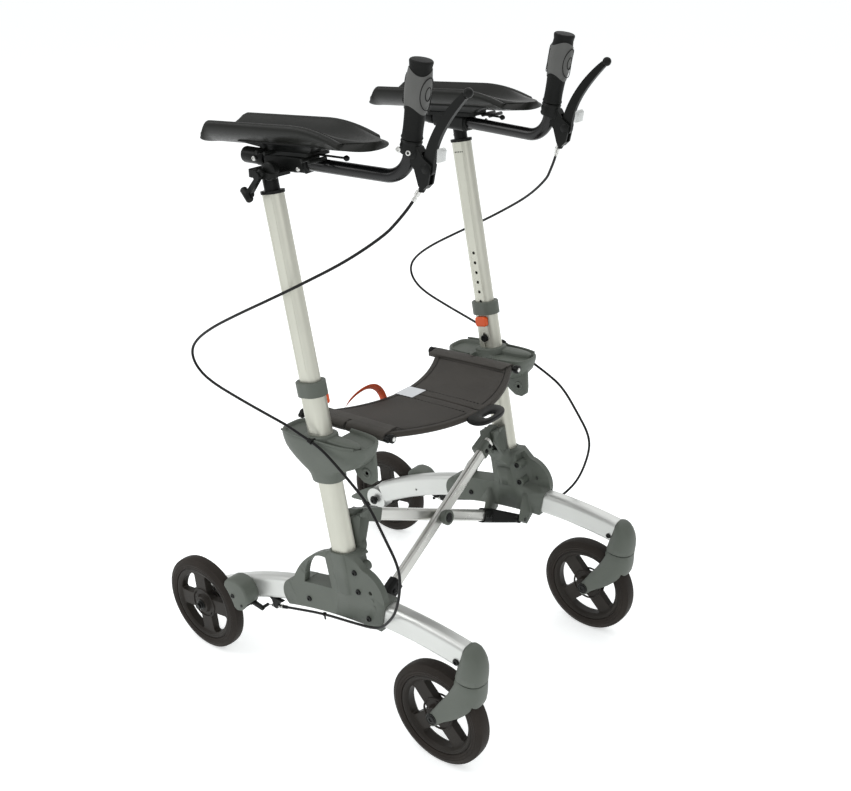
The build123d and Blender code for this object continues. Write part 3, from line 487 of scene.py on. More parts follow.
def forearm_pad(word, side):
    stations, edge = 48, 3.0
    shares = [abs(math.sin(math.pi * (k / BOWL - 0.5))) for k in range(BOWL + 1)] + [1.0] * 6
    shares *= 2
    rings = []
    for k in range(-2, stations + 3):
        u = min(max(k / stations, 0.0), 1.0)
        u = 0.5 - 0.5 * math.cos(math.pi * u)
        fade = 1 - max(0.0, (u - 0.66) / 0.34) ** 2.0
        rim = 23 + 21 * fade - 17 * max(0.0, 1 - u / 0.06) ** 2.3
        trough, base = 21.0, 2 + 5 * max(0.0, (u - 0.8) / 0.2) ** 1.6
        section = pad_section(rim, trough, base)
        beyond = max(-k, k - stations, 0)
        inset = (0.0, 0.9, edge)[beyond]
        reach = (edge, 0.9, 0.0)[beyond] if k <= 0 or k >= stations else 0.0
        middle = (rim + base) / 2
        ring = []
        for (y, z), share in zip(section, shares):
            rear = PAD_REAR + pad_end(share * PAD_HALF, 20, 0.5) + edge
            front = PAD_FRONT - pad_end(share * PAD_HALF, 40, 0.95) - edge
            x = rear + (front - rear) * u
            x += (edge - reach) * (-1 if k <= 0 else 1 if k >= stations else 0)
            span = max(abs(y), 1.0)
            ring.append(pad_point(side, x, y * (1 - inset / 2 / span),
                                  z + (middle - z) * inset / (abs(middle - z) + 9)))
        rings.append(ring)
    points, faces = rings_data(rings, caps=False)
    faces += pad_cap(0) + pad_cap((len(rings) - 1) * len(rings[0]))
    pad = mesh_object(f"{word}_arm_pad", points, faces)
    settle(pad, VINYL, f"{word}_support", 70)
    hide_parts(f"{word}_forearm_pad")
    base = loft(f"{word}_pad_base", [pad_plinth(side, *level) for level in (
        (-9, -8, 44, 21, 8), (-3, -9, 50, 23, 9), (3, -12, 66, 27, 11), (8, -16, 88, 32, 14),
        (11, -18, 104, 35, 16), (14, -18, 104, 34, 16))])
    settle(base, BLACK, f"{word}_support", 50)


def pad_plinth(side, z, centre, long_half, wide_half, corner):
    """One level of the plinth under the pad: a rectangle with round corners."""
    ring = []
    for qx, qy, start in ((1, 1, 0), (-1, 1, 90), (-1, -1, 180), (1, -1, 270)):
        for a in range(0, 91, 15):
            t = math.radians(start + a)
            ring.append(pad_point(side, centre + qx * (long_half - corner) + corner * math.cos(t),
                                  qy * (wide_half - corner) + corner * math.sin(t), z))
    return ring


# ---------------------------------------------------------------- seat
def bow(y):
    return SEAT_BOW * (1 - (y / ROD_Y) ** 2)


def seat_height(x, y):
    """Top of the cloth: level with the rods, hanging a little in the middle."""
    local = x - bow(y)
    return ROD_Z + 7.5 + ROD_SLOPE * local - 9.0 * (1 - (y / ROD_Y) ** 2)


def seat_section(y):
    """Closed section of the cloth at y, from the rear hem over the top to the front hem and back."""
    shift = bow(y)
    rear, front = SEAT_REAR_X + shift, SEAT_FRONT_X + shift
    hem, steps = 5.6, 22
    points = []

    def at(x, drop):
        points.append(Vector((x, y, seat_height(x, y) - drop)))

    for k in range(7):
        a = math.pi * (1.0 + 0.5 - k / 6)
        at(rear + hem + hem * math.cos(a), hem - hem * math.sin(a))
    for k in range(1, steps):
        x = rear + hem + (front - rear - 2 * hem) * k / steps
        dip = 1.3 if k in (1, steps - 1) else 0.0
        crown = 1.2 * math.sin(math.pi * k / steps)
        at(x, dip - crown)
    for k in range(7):
        a = math.pi * (0.5 - k / 6)
        at(front - hem + hem * math.cos(a), hem - hem * math.sin(a))
    for k in range(steps - 1, 0, -1):
        x = rear + hem + (front - rear - 2 * hem) * k / steps
        edge = min(k, steps - k)
        at(x, 4.0 + (3.5 if edge == 1 else 0.0) - 1.2 * math.sin(math.pi * k / steps))
    return points


def seat_half(word, side):
    rings = [seat_section(side * (ROD_Y + 2) * (1 - k / 44)) for k in range(45)]
    cloth = smoothed(loft(f"{word}_seat_cloth", rings))
    settle(cloth, FABRIC, None, 60)
    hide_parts(f"{word}_seat_sling")
    if side > 0:
        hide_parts("seat_middle")
        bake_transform(cloth)
    else:
        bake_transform(cloth)
    seat_sleeve(word, side)
    seat_stitches(word, side)
    rod_ends(word, side)


def rod_place(x):
    return Vector((x, ROD_Y, ROD_Z + ROD_SLOPE * x))


def seat_sleeve(word, side):
    """The cloth's edge folded round the seat rod; its wrap leaves a gap for the brace end."""
    def strip(low, high, section):
        rings = []
        for x in [low + (high - low) * k / 12 for k in range(13)]:
            ends = 0.6 if x in (low, high) else 0.0
            rings.append([Vector((x, side * (y + (ROD_Y - 12 - y) * 0.02 * ends),
                                  ROD_Z + ROD_SLOPE * x + z * (1 - 0.08 * ends))) for y, z in section])
        return loft("strip", rings)

    wrap = [(ROD_Y - 14, -1.0), (ROD_Y - 14, 9.2), (ROD_Y - 4, 9.6)]
    wrap += [(ROD_Y + 9.2 * math.sin(math.radians(a)), 9.2 * math.cos(math.radians(a)))
             for a in range(0, 181, 15)]
    wrap += [(ROD_Y - 6, -6.0)]
    flat = [(ROD_Y - 30, 1.0), (ROD_Y - 30, 8.2), (ROD_Y - 27, 9.0), (ROD_Y - 10, 9.4), (ROD_Y - 10, 1.0)]
    parts = [strip(SEAT_REAR_X + 1, 24, wrap), strip(29, SEAT_FRONT_X - 1, wrap),
             strip(SEAT_REAR_X + 3, SEAT_FRONT_X - 3, flat)]
    joined(f"{word}_seat_sleeve", parts, HEM, f"{word}_seat", 50)


def seat_stitches(word, side):
    """Dashed sewing lines: one beside the rod, one beside the fold, and one along each hem."""
    dashes = []

    def run(place, count, fill=0.62):
        for k in range(count):
            start, along = place(k / count), place((k + fill) / count) - place(k / count)
            profile = [(radius, share * along.length)
                       for radius, share in ((0.25, 0), (0.6, 0.15), (0.6, 0.85), (0.25, 1))]
            dashes.append(turned("dash", profile, start, along, 6))

    def across_seat(out, low, high):
        def place(t):
            y = side * out
            x = SEAT_REAR_X + bow(y) + low + (high - low) * t
            return Vector((x, y, seat_height(x, y) + 1.1))
        return place

    def along_hem(inset, rear_edge):
        def place(t):
            y = side * (24 + (ROD_Y - 34) * t)
            x = (SEAT_REAR_X if rear_edge else SEAT_FRONT_X) + bow(y) + (inset if rear_edge else -inset)
            return Vector((x, y, seat_height(x, y) + 0.35))
        return place

    run(across_seat(22, 12, 172), 20)
    joined(f"{word}_fold_stitches", dashes, THREAD, "seat_middle")
    dashes.clear()
    run(across_seat(ROD_Y - 35, 12, 176), 42)
    run(along_hem(13.5, True), 40)
    run(along_hem(13.5, False), 40)
    joined(f"{word}_seat_stitches", dashes, THREAD, f"{word}_seat")


def rod_ends(word, side):
    """Black link and bright pin at each end of the seat rod."""
    blacks, pins = [], []
    for x, reach in ((SEAT_FRONT_X + 12, 1), (SEAT_REAR_X - 12, -1)):
        place = rod_place(x)
        place.y *= side
        axis = Vector((reach, 0, reach * ROD_SLOPE))
        profile = [(6, -6), (7.5, -5), (8.2, -2), (8.2, 2.5), (7, 4), (4.4, 4.4), (4.4, 3.6)]
        blacks.append(turned("link", profile, place, axis, 28))
        profile = [(4.2, 3.2), (4.2, 5.0), (3.0, 6.0), (0, 6.2)]
        pins.append(turned("pin", profile, place, axis, 24))
        spur = place + Vector((-reach * 9, side * 9, 0))
        blacks.append(turned("spur", [(3.5, 0), (5, 1), (5, 9), (3.5, 10)], spur, (reach, 0, 0), 20))
    joined(f"{word}_rod_links", blacks, BLACK, f"{word}_frame")
    joined(f"{word}_rod_pins", pins, STEEL, f"{word}_frame")


def rounded(reach, power, turn):
    """One coordinate of a superellipse: the cosine or sine, turn, raised to a power with its sign."""
    return reach * math.copysign(abs(turn) ** power, turn)


def pull_ring():
    """Moulded pull handle at the middle of the front edge."""
    x0, half = SEAT_FRONT_X + SEAT_BOW, 4.6
    z = seat_height(x0, 0) - 5.5
    turns = [(math.cos(a), math.sin(a)) for a in [math.tau * k / 48 for k in range(48)]]
    outer = [Vector((x0 + 12 + rounded(24, 0.85, c), rounded(45, 0.8, d), z)) for c, d in turns]
    inner = [Vector((x0 + 19.5 + rounded(6.5, 0.7, c), rounded(15.5, 0.7, d), z)) for c, d in turns]
    rings = []
    for height, share in ((-1, 0.10), (-0.6, 0.0), (0.6, 0.0), (1, 0.10), (1, 0.88), (0.6, 1.0),
                          (-0.6, 1.0), (-1, 0.88)):
        rings.append([p.lerp(q, share) + Z_AXIS * half * height for p, q in zip(outer, inner)])
    ring = smoothed(loft("seat_pull_ring", rings + [rings[0]], caps=False))
    settle(ring, BLACK, "seat_middle", 60)


def label_patch():
    """A plain satin patch that lies on the cloth near its rear edge."""
    steps, half, lift, thick = 10, 21.0, 0.4, 0.5
    rows = []
    for i in range(steps + 1):
        row = []
        for j in range(steps + 1):
            x, y = SEAT_REAR_X + SEAT_BOW + 3 + 2 * half * i / steps, half * (2 * j / steps - 1)
            across = math.pi * (x - bow(y) - SEAT_REAR_X) / (SEAT_FRONT_X - SEAT_REAR_X)
            row.append(Vector((x, y, seat_height(x, y) + 1.2 * math.sin(across) + lift)))
        rows.append(row)
    rings = [[p + Z_AXIS * thick for p in row] for row in rows] + rows[::-1]
    points, faces = rings_data(rings + [rings[0]], closed=False, caps=False)
    count = steps + 1
    for edge in (0, steps):
        for i in range(steps):
            a, b = i * count + edge, (i + 1) * count + edge
            c, d = (2 * steps + 1 - i) * count + edge, (2 * steps - i) * count + edge
            faces.append((a, b, d, c))
    settle(mesh_object("seat_patch", points, faces), PATCH, "seat_middle")


def strap_loop():
    """Orange webbing loop that stands up behind the rear edge."""
    half, steps = 9.5, 28
    rings = []
    for t in [k / steps for k in range(steps + 1)]:
        y = -128 + 84 * t
        x = SEAT_REAR_X + bow(y) - 1 + 10 * math.sin(math.pi * t)
        z = seat_height(x, y) - 6 + 40 * math.sin(math.pi * min(1.0, t * 1.02)) ** 0.72
        turn = math.radians(70 - 40 * t)
        wide = Vector((math.cos(turn), 0.25 * math.sin(turn), math.sin(turn))).normalized() * half
        slope = Vector((0, math.sin(math.pi * t), -math.cos(math.pi * t)))
        thick = wide.cross(slope).normalized() * 1.3
        middle = Vector((x, y, z))
        rings.append([middle - wide - thick, middle + wide - thick, middle + wide + thick,
                      middle - wide + thick])
    loop = smoothed(loft("seat_strap_loop", rings))
    settle(loop, WEBBING, None, 50)
    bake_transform(loop)


# ---------------------------------------------------------------- cables
# The route is the same list of points as the solid cable has.
CABLE_R, CABLE_LENGTH = 2.5, 1.60
CABLE_ROUTE = [
    (194, 196, 1006), (186, 203, 988), (169, 216, 961), (153, 229, 939), (97, 258, 893), (21, 284, 846),
    (-37, 297, 812), (-103, 305, 775), (-175, 308, 733), (-220, 309, 699), (-237, 309, 672),
    (-228, 308, 645), (-195, 306, 624), (-124, 301, 607), (-56, 296, 593), (-21, 292, 585),
    (12, 288, 573), (49, 287, 563), (78, 289, 550), (133, 296, 523), (171, 300, 500), (209, 303, 449),
    (236, 304, 411), (241, 303, 374), (225, 296, 308), (195, 288, 263), (168, 283, 238), (99, 276, 218),
    (27, 269, 199), (-39, 266, 178), (-99, 264, 158),
]


def cable(word, side):
    route = [side_point(side, *p) for p in CABLE_ROUTE]
    line = rod(f"{word}_cable", route, CABLE_R, 3, smooth=True)
    settle(line, CASING, f"{word}_frame")
    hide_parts(f"{word}_brake_cable")


# ---------------------------------------------------------------- uprights
def upright_details(word, side):
    ribs = []
    for s in (-8.5, 8.5):
        for facing in (-1, 1):
            section = [(-0.8, -0.3), (-0.35, 0.2), (0.35, 0.2), (0.8, -0.3)]
            rings = [[lean_point(side, UPRIGHT_S + s + a, t, FRAME_Y + facing * (TUBE_HALF + b))
                      for a, b in section] for t in (668, 966)]
            ribs.append(loft("rib", rings))
    joined(f"{word}_tube_ribs", ribs, ALU, f"{word}_upper")
    inwards = (0, -side, 0)
    dots = [turned("dot", [(1.3, 0), (1.3, 0.35), (0, 0.4)],
                   lean_point(side, UPRIGHT_S + 4.2 * k, 950, FRAME_Y - 13.4), inwards, 14)
            for k in range(-2, 3)]
    joined(f"{word}_tube_dots", dots, BLACK, f"{word}_upper")
    knob = turned(f"{word}_slot_knob", [(7.5, -1), (7.5, 4.2), (6.6, 5), (4.4, 5), (4.0, 3.6), (0, 3.4)],
                  lean_point(side, UPRIGHT_S, 574, FRAME_Y - 16.5), inwards, 28)
    settle(knob, BLACK, f"{word}_frame")


# ---------------------------------------------------------------- bolts and hubs
CASTING_SCREWS = ((-7, 221), (109, 326), (117, 289), (141, 242))


def bolts(word, side):
    heads = [(x, FRAME_Y + CAST_HALF, z, 1, 5.6, 3.4) for x, z in CASTING_SCREWS]
    heads += [(x, FRAME_Y - CAST_HALF, z, -1, 5.6, 3.4) for x, z in CASTING_SCREWS[:-1]]
    heads += [(333, FRAME_Y + LEG_HALF, 240, 1, 6.4, 3.6), (333, FRAME_Y - LEG_HALF, 240, -1, 5.4, 3.0),
              (-164, FRAME_Y + LEG_HALF, 178, 1, 4.2, 2.0), (-190, HOOD_OUT - 0.4, 163, 1, 5.0, 2.6)]
    screws = [socket_bolt(side_point(side, x, out, z), (0, facing * side, 0), radius, height)
              for x, out, z, facing, radius, height in heads]
    joined(f"{word}_socket_bolts", screws, DARK_STEEL, f"{word}_frame")
    profile = [(10.5, 0), (10.5, 1.6), (9, 2.2), (8.2, 2.2), (8.2, 5.2), (6.8, 6.2), (3.6, 6.4), (3.2, 4.2),
               (0, 4.0)]
    nuts = [turned("nut", profile, side_point(side, -AXLE_X, out, WHEEL_R), (0, facing * side, 0), 36)
            for out, facing in ((REAR_Y + 14.6, 1), (FRAME_Y - 22, -1))]
    joined(f"{word}_axle_nuts", nuts, DARK_STEEL, f"{word}_frame")


def bar(radius, start, end):
    """A round bar with its edges broken."""
    length = (end - start).length
    return turned("bar", [(radius - 0.4, 0), (radius, 0.4), (radius, length - 0.4), (radius - 0.4, length)],
                  start, end - start, 24)


def frame_rods(word, side):
    """Axle, pins and seat rod of a side frame, and the kerb tail behind the leg."""
    low, high = (lean_point(1, PIVOT_S + reach, PIVOT_LOW_T, PIVOT_OUT) for reach in (-52, 52))
    ends = [(6, (-AXLE_X, FRAME_Y - 22, WHEEL_R), (-AXLE_X, 314.5, WHEEL_R)),
            (3, (SHOE_X, FRAME_Y + LEG_HALF, SHOE_Z), (SHOE_X, HOOD_OUT + 1.5, SHOE_Z)),
            (5, rod_place(SEAT_REAR_X - 10), rod_place(-2)),
            (5, rod_place(54), rod_place(SEAT_FRONT_X + 10)), (4, low, high)]
    rods = gather(f"{word}_frame_rods", [bar(radius, side_point(side, *start), side_point(side, *end))
                                         for radius, start, end in ends])
    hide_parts(f"{word}_frame_fasteners")
    settle(rods, DARK_STEEL, f"{word}_frame")
    outline = [(-296, 118), (-312, 117), (-330, 108), (-350, 95), (-379, 71), (-378, 67), (-372, 66),
               (-340, 71), (-312, 77), (-296, 82)]
    tail = soften(side_plate(f"{word}_kerb_tail", outline, side, FRAME_Y - 5, FRAME_Y + 5), 2.4)
    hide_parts(f"{word}_frame_fasteners")
    settle(tail, GREY, f"{word}_frame")


# ---------------------------------------------------------------- castings
def casting(word, side):
    """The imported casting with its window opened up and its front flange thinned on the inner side."""
    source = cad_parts[f"{word}_lower_casting"]
    mesh = source.data.copy()
    mesh.transform(source.matrix_world)
    body = welded("casting", mesh, 2e-6)
    arch = [math.pi / 2 * (0.04 + 0.92 * k / 12) for k in range(13)]
    window = [(35 - 51 * math.sin(a), 263 + 66 * math.cos(a)) for a in arch]
    window += [(x, leg_z(x, 26.5)) for x in (-18, 16, 52)] + [(38, 329)]
    flange = [(112, 352), (103, 350), (112, 312), (121, 290), (126, leg_z(126, 30)), (150, leg_z(150, 28)),
              (190, leg_z(190, 28)), (190, 345), (150, 352)]
    behind = [(-95, 228)] + [(x, leg_z(x, 27)) for x in range(-70, 55, 20)]
    behind += [(53, 272), (39.5, 338), (30, 356), (-95, 356)]
    inner, web = FRAME_Y - 30, FRAME_Y + 5
    for outline, low, high in ((window, FRAME_Y - 40, FRAME_Y + 40), (flange, inner, web),
                               (behind, inner, web)):
        body = cut_away(body, side_plate("tool", outline, side, low, high))
    under = [[lean_point(side, a, b, out) for a, b in ((108, 290), (172, 290), (172, 300.6), (108, 300.6))]
             for out in (185, FRAME_Y - CAST_HALF - 0.6)]
    body = cut_away(body, loft("tool", under))
    bosses = [turned("boss", [(9.5, 0), (9.5, 22), (9, 22.8), (0, 22.8)],
                     side_point(side, x, FRAME_Y + 4.4, z), (0, -side, 0), 28)
              for x, z in CASTING_SCREWS[1:3]]
    dots = [turned("dot", [(3.4, -0.2), (3.0, 0.9), (0, 1.1)], side_point(side, x, FRAME_Y + CAST_HALF, z),
                   (0, side, 0), 18) for x, z in ((150, 284), (154, 272))]
    piece = joined(f"{word}_casting_shell", [body] + bosses + dots, GREY, f"{word}_frame", 40)
    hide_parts(f"{word}_lower_casting")


# ---------------------------------------------------------------- rear hood and brake
def around_tyre(degrees, gap):
    """Side-view place at an angle about the rear axle, this far from the tread."""
    a = math.radians(degrees)
    return ((WHEEL_R + gap) * math.cos(a) - AXLE_X, (WHEEL_R + gap) * math.sin(a) + WHEEL_R)


def rear_hood(word, side):
    inner = FRAME_Y + LEG_HALF
    outline = [around_tyre(a, 5) for a in range(20, 48, 3)] + [(-214, 186), (-206, 195), (-194, 200)]
    outline += [(-182 + 32 * math.cos(a), 168 + 33 * math.sin(a)) for a in
                [math.radians(d) for d in range(84, -50, -11)]]
    outline += [(-168, 136), (-180, 131)]
    body = soften(side_plate("hood", outline, side, inner - 2, HOOD_OUT), 5, 4, 40)
    cavity = [(-232, 170), (-212, 186), (-190, 182), (-166, 170), (-158, 158), (-140, 153), (-140, 132),
              (-168, 120), (-220, 120)]
    body = cut_away(body, side_plate("cavity", cavity, side, inner + 5, HOOD_OUT - 4))
    body.name = f"{word}_hood_shell"
    settle(body, GREY, f"{word}_frame", 40)
    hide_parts(f"{word}_rear_housing")
    block = [around_tyre(a, 4) for a in (25, 28, 32, 36, 39)]
    block += [(-201, 170), (-170, 160), (-160, 155), (-159, 146)]
    lever = [(-168, 146), (-160, 156), (-134, 152), (-127, 147), (-132, 141), (-160, 144)]
    parts = [soften(side_plate("shoe", outline, side, inner + low, high), 1.2, 2)
             for outline, low, high in ((block, 7, HOOD_OUT - 6), (lever, 6, inner + 11))]
    parts.append(turned("pin", [(2.6, 0), (3.2, 0.8), (3.2, 19), (2.6, 19.6)],
                        side_point(side, -133, FRAME_Y + 8, 147), (0, side, 0), 24))
    piece = joined(f"{word}_shoe_block", parts, BLACK, f"{word}_brake_shoe", 40)
    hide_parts(f"{word}_brake_shoe")


# ---------------------------------------------------------------- caster head and fork
def oval_ring(side, x, out, z, reach, half, power, slope=0.0, count=44):
    """A superellipse about (x, out), its height rising with x by slope."""
    ring = []
    for a in [math.tau * k / count for k in range(count)]:
        ahead = rounded(reach, 2 / power, math.cos(a))
        ring.append(side_point(side, x + ahead, out + rounded(half, 2 / power, math.sin(a)),
                               z + slope * ahead))
    return ring


def stack(name, side, levels):
    """Loft through levels of (z, lowest x, highest x, half width, power) about the frame's plane."""
    return loft(name, [oval_ring(side, (low + high) / 2, FRAME_Y, z, (high - low) / 2, half, power)
                       for z, low, high, half, power in levels])


CAP_LEVELS = ((207.4, 328, 381, 25.6, 2.3), (208.4, 327, 382.4, 26.8, 2.3), (222, 330.5, 383.2, 26.8, 2.35),
              (236, 334, 382.6, 26, 2.4), (248, 337.5, 379.8, 24.4, 2.4), (258, 340, 375, 22.4, 2.4),
              (266, 342.5, 368.5, 19.6, 2.4), (271, 344.5, 362, 15.4, 2.3), (274, 347, 356, 9, 2.1),
              (274.6, 350, 352.5, 2, 2.0))
FORK_LEVELS = ((206.2, 331, 380.6, 26.4, 2.3), (205, 329.5, 381.8, 27, 2.3), (192, 323, 382, 27, 2.4),
               (178, 316, 381.6, 27, 2.5), (166, 309.5, 379.5, 27, 2.6), (156, 304.5, 375, 27, 2.8),
               (148, 300.5, 368.5, 27, 3.0), (138, 295.5, 358.5, 27, 3.4), (126, 289.5, 345.5, 27, 3.8),
               (114, 283, 330, 27, 4.2), (105, 278.5, 317, 27, 4.6), (98, 275.8, 308.5, 27, 4.6),
               (91, 276, 301.5, 26.8, 4.2), (86, 279, 297, 26, 3.6), (82.5, 284, 292.5, 24, 3.0))


def caster(word, side):
    cap = stack(f"{word}_head_dome", side, CAP_LEVELS)
    settle(cap, GREY, f"{word}_frame", 50)
    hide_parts(f"{word}_head_cap")
    place = side_point(side, AXLE_X, FRAME_Y, WHEEL_R)
    well = turned("well", [(105, -20.5), (105, 20.5)], place, Y_AXIS, 96)
    fork = cut_away(stack("fork", side, FORK_LEVELS), well)
    fork.name = f"{word}_fork_shell"
    settle(fork, GREY, f"{word}_caster", 40)
    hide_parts(f"{word}_caster_fork")
    axle_cap = [(11.5, 26.4), (11.5, 27.6), (10.6, 28.3), (9.4, 27.7), (8.8, 27.0), (7.6, 27.3), (7.2, 28.6),
                (4.6, 29.0), (4.0, 27.4), (0, 27.2)]
    parts = [turned("stem", [(8, -8), (8, 34)], side_point(side, 355, FRAME_Y, 200), Z_AXIS, 24),
             turned("axle", [(6, -26), (6, 26)], place, Y_AXIS, 24)]
    parts += [turned("cap", axle_cap, place, (0, facing, 0), 32) for facing in (-1, 1)]
    joined(f"{word}_fork_axle", parts, DARK_STEEL, f"{word}_caster")


# ---------------------------------------------------------------- seat brackets
def leaning_ring(side, x, out, z, reach, half, power, tilt):
    """An oval ring that leans with the rods when tilt is 1 and with the upright when 0."""
    slope = ROD_SLOPE * tilt + math.tan(LEAN) * (1 - tilt)
    return oval_ring(side, x, out, z, reach, half, power, slope, 56)


def upright_x(z):
    return UPRIGHT_S / math.cos(LEAN) - z * math.tan(LEAN)


def seat_bracket(word, side):
    levels = [(upright_x(484), FRAME_Y, 484, 29.5, 21.2, 2.6, 0),
              (upright_x(486), FRAME_Y, 486, 31.5, 22.6, 2.6, 0),
              (upright_x(498), FRAME_Y, 498, 33, 23.6, 2.6, 0),
              (upright_x(504), 253, 505, 40, 25.5, 2.6, 0.1), (36, 251, 511, 54, 28.5, 2.7, 0.5),
              (34, 248, 519, 70, 32, 2.8, 0.8), (33, 245.5, 528, 83, 35.5, 3.0, 1),
              (33, 244, 538, 91, 38, 3.2, 1), (33, 243.5, 549, 94.5, 39.4, 3.4, 1)]
    levels += [(33, 243, z, reach, half, 3.6, 1) for z, reach, half in (
        (558, 96, 40), (563, 96.2, 40), (565.4, 95.4, 39), (565.8, 93.6, 37.2), (564.6, 91.8, 35.4),
        (559.5, 89.5, 33.2))]
    shell = loft("bracket", [leaning_ring(side, *level) for level in levels])
    brace_end = ((2, 190), (50, 190), (50, 230.5), (2, 230.5))
    notch = loft("notch", [[side_point(side, x, out, z) for x, out in brace_end] for z in (480, 600)])
    collar = [leaning_ring(side, upright_x(z) - 1, FRAME_Y, z, 27.5 + grow, 20 + grow, 2.6, 0)
              for z, grow in ((556, 4), (566, 4), (568.5, 2.6), (569, 0.5))]
    pad = [leaning_ring(side, 74, 258, z, 44 * share, 13.5 * share, 2.2, 1)
           for z, share in ((560, 1), (568.2, 1), (570.6, 0.93), (571.8, 0.78), (572.2, 0.4))]
    outline = [(60, 560), (70, 520), (84, 497), (100, 487.5), (116, 488), (127.5, 498), (128, 512),
               (124, 560)]
    ear_from = EAR_OUT - EAR_HALF + LEFT_EAR_STEP * (side > 0)
    eye = side_point(side, 108, EAR_OUT, 509)
    ear = soften(side_plate("ear", outline, side, ear_from, ear_from + 2 * EAR_HALF), 2.2)
    ear = cut_away(ear, turned("hole", [(3.5, -20), (3.5, 20)], eye, Y_AXIS, 24))
    disc = turned("disc", [(10, 3.2), (10, 5.0), (8.6, 5.8), (6.2, 5.8), (5.2, 4.6), (3.6, 4.6), (3.6, 3.2)],
                  eye, (0, side, 0), 32)
    lip = [side_point(side, x, 281.0 - 14 * ((x - 28) / 100) ** 4, 566.5 + ROD_SLOPE * (x - 28))
           for x in range(-52, 118, 12)]
    parts = [cut_away(shell, notch), loft("collar", collar), loft("pad", pad), ear, disc,
             as_mesh(rod("lip", lip, 2.0, 3, smooth=True))]
    piece = joined(f"{word}_seat_bracket_shell", parts, GREY, f"{word}_frame", 48)
    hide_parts(f"{word}_seat_bracket")


# ---------------------------------------------------------------- handles
GRIP_OUT, GRIP_TOP, HANDLE_Z = 193.0, Vector((199, 0, 1202)), 1024.0
GRIP_LENGTH = 117.0
HANDLE_REAR, HANDLE_BEND = Vector((-142, 229, HANDLE_Z)), Vector((170, GRIP_OUT, HANDLE_Z))
GRIP_AXIS = (GRIP_TOP - Vector((HANDLE_BEND.x, 0, HANDLE_Z))).normalized()


def grip_place(side, along, lift=0.0, around=0.0):
    """Place on the grip: along it from its lower end, lift off its axis, around from the outside."""
    ahead = Y_AXIS.cross(GRIP_AXIS).normalized()
    p = GRIP_TOP - GRIP_AXIS * (GRIP_LENGTH - along)
    p = p + ahead * lift * math.sin(around) + Y_AXIS * lift * math.cos(around)
    return Vector((p.x, side * (GRIP_OUT + p.y), p.z))


GRIP_PROFILE = ((16.6, 0), (17.2, 1.5), (16.6, 3), (15.9, 5), (15.6, 15), (15.9, 30), (16.4, 40), (17.5, 50),
                (18.8, 60), (19.6, 70), (19.6, 80), (18.8, 90), (17.6, 100), (17.0, 106), (17.6, 110),
                (18.2, 113), (18.0, 115), (16.5, 116.5))


def grip_radius(along):
    for (r0, a0), (r1, a1) in zip(GRIP_PROFILE, GRIP_PROFILE[1:]):
        if along <= a1:
            return r0 + (r1 - r0) * (along - a0) / (a1 - a0)
    return GRIP_PROFILE[-1][0]


def grip(word, side):
    profile = [(11.2, 0)] + list(GRIP_PROFILE) + [(11, 117), (0, 117.2)]
    body = turned(f"{word}_grip_rubber", profile, grip_place(side, 0), GRIP_AXIS, 48)
    settle(body, RUBBER, f"{word}_handle", 32)
    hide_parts(f"{word}_grip")
    rows = []
    for k in range(-1, 26):
        t, ring = min(max(k / 24, 0.0), 1.0), []
        for j in range(72):
            a = math.tau * j / 72
            low, high = 45 + 6 * math.cos(2 * a), 100.5 - 4.5 * math.cos(2 * (a - math.pi / 4))
            along = low + (high - low) * t
            lift = grip_radius(along) + (-0.8 if k in (-1, 25) else 0.9)
            ring.append(grip_place(side, along, lift, a))
        rows.append(ring)
    settle(loft(f"{word}_grip_insert", rows, caps=False), GRIP_GREY, f"{word}_handle", 50)
    marks = []
    for facing in (math.pi / 2, -math.pi / 2):
        for size in (1.0, 0.42):
            oval = [grip_place(side, 71 + 24 * size * math.sin(t), grip_radius(71) + 0.9,
                               facing + 0.72 * size * math.cos(t))
                    for t in [math.tau * k / 28 for k in range(29)]]
            marks.append(as_mesh(rod("oval", oval, 0.7, 2)))
    for k in range(13):
        along = 52 + 3.0 * k
        for a in (-0.95, math.pi + 0.95):
            ends = [grip_place(side, along, grip_radius(along) + 0.9, a + d) for d in (-0.2, 0, 0.2)]
            marks.append(as_mesh(rod("rib", ends, 0.9, 2)))
    joined(f"{word}_grip_marks", marks, RUBBER, f"{word}_handle", 40)


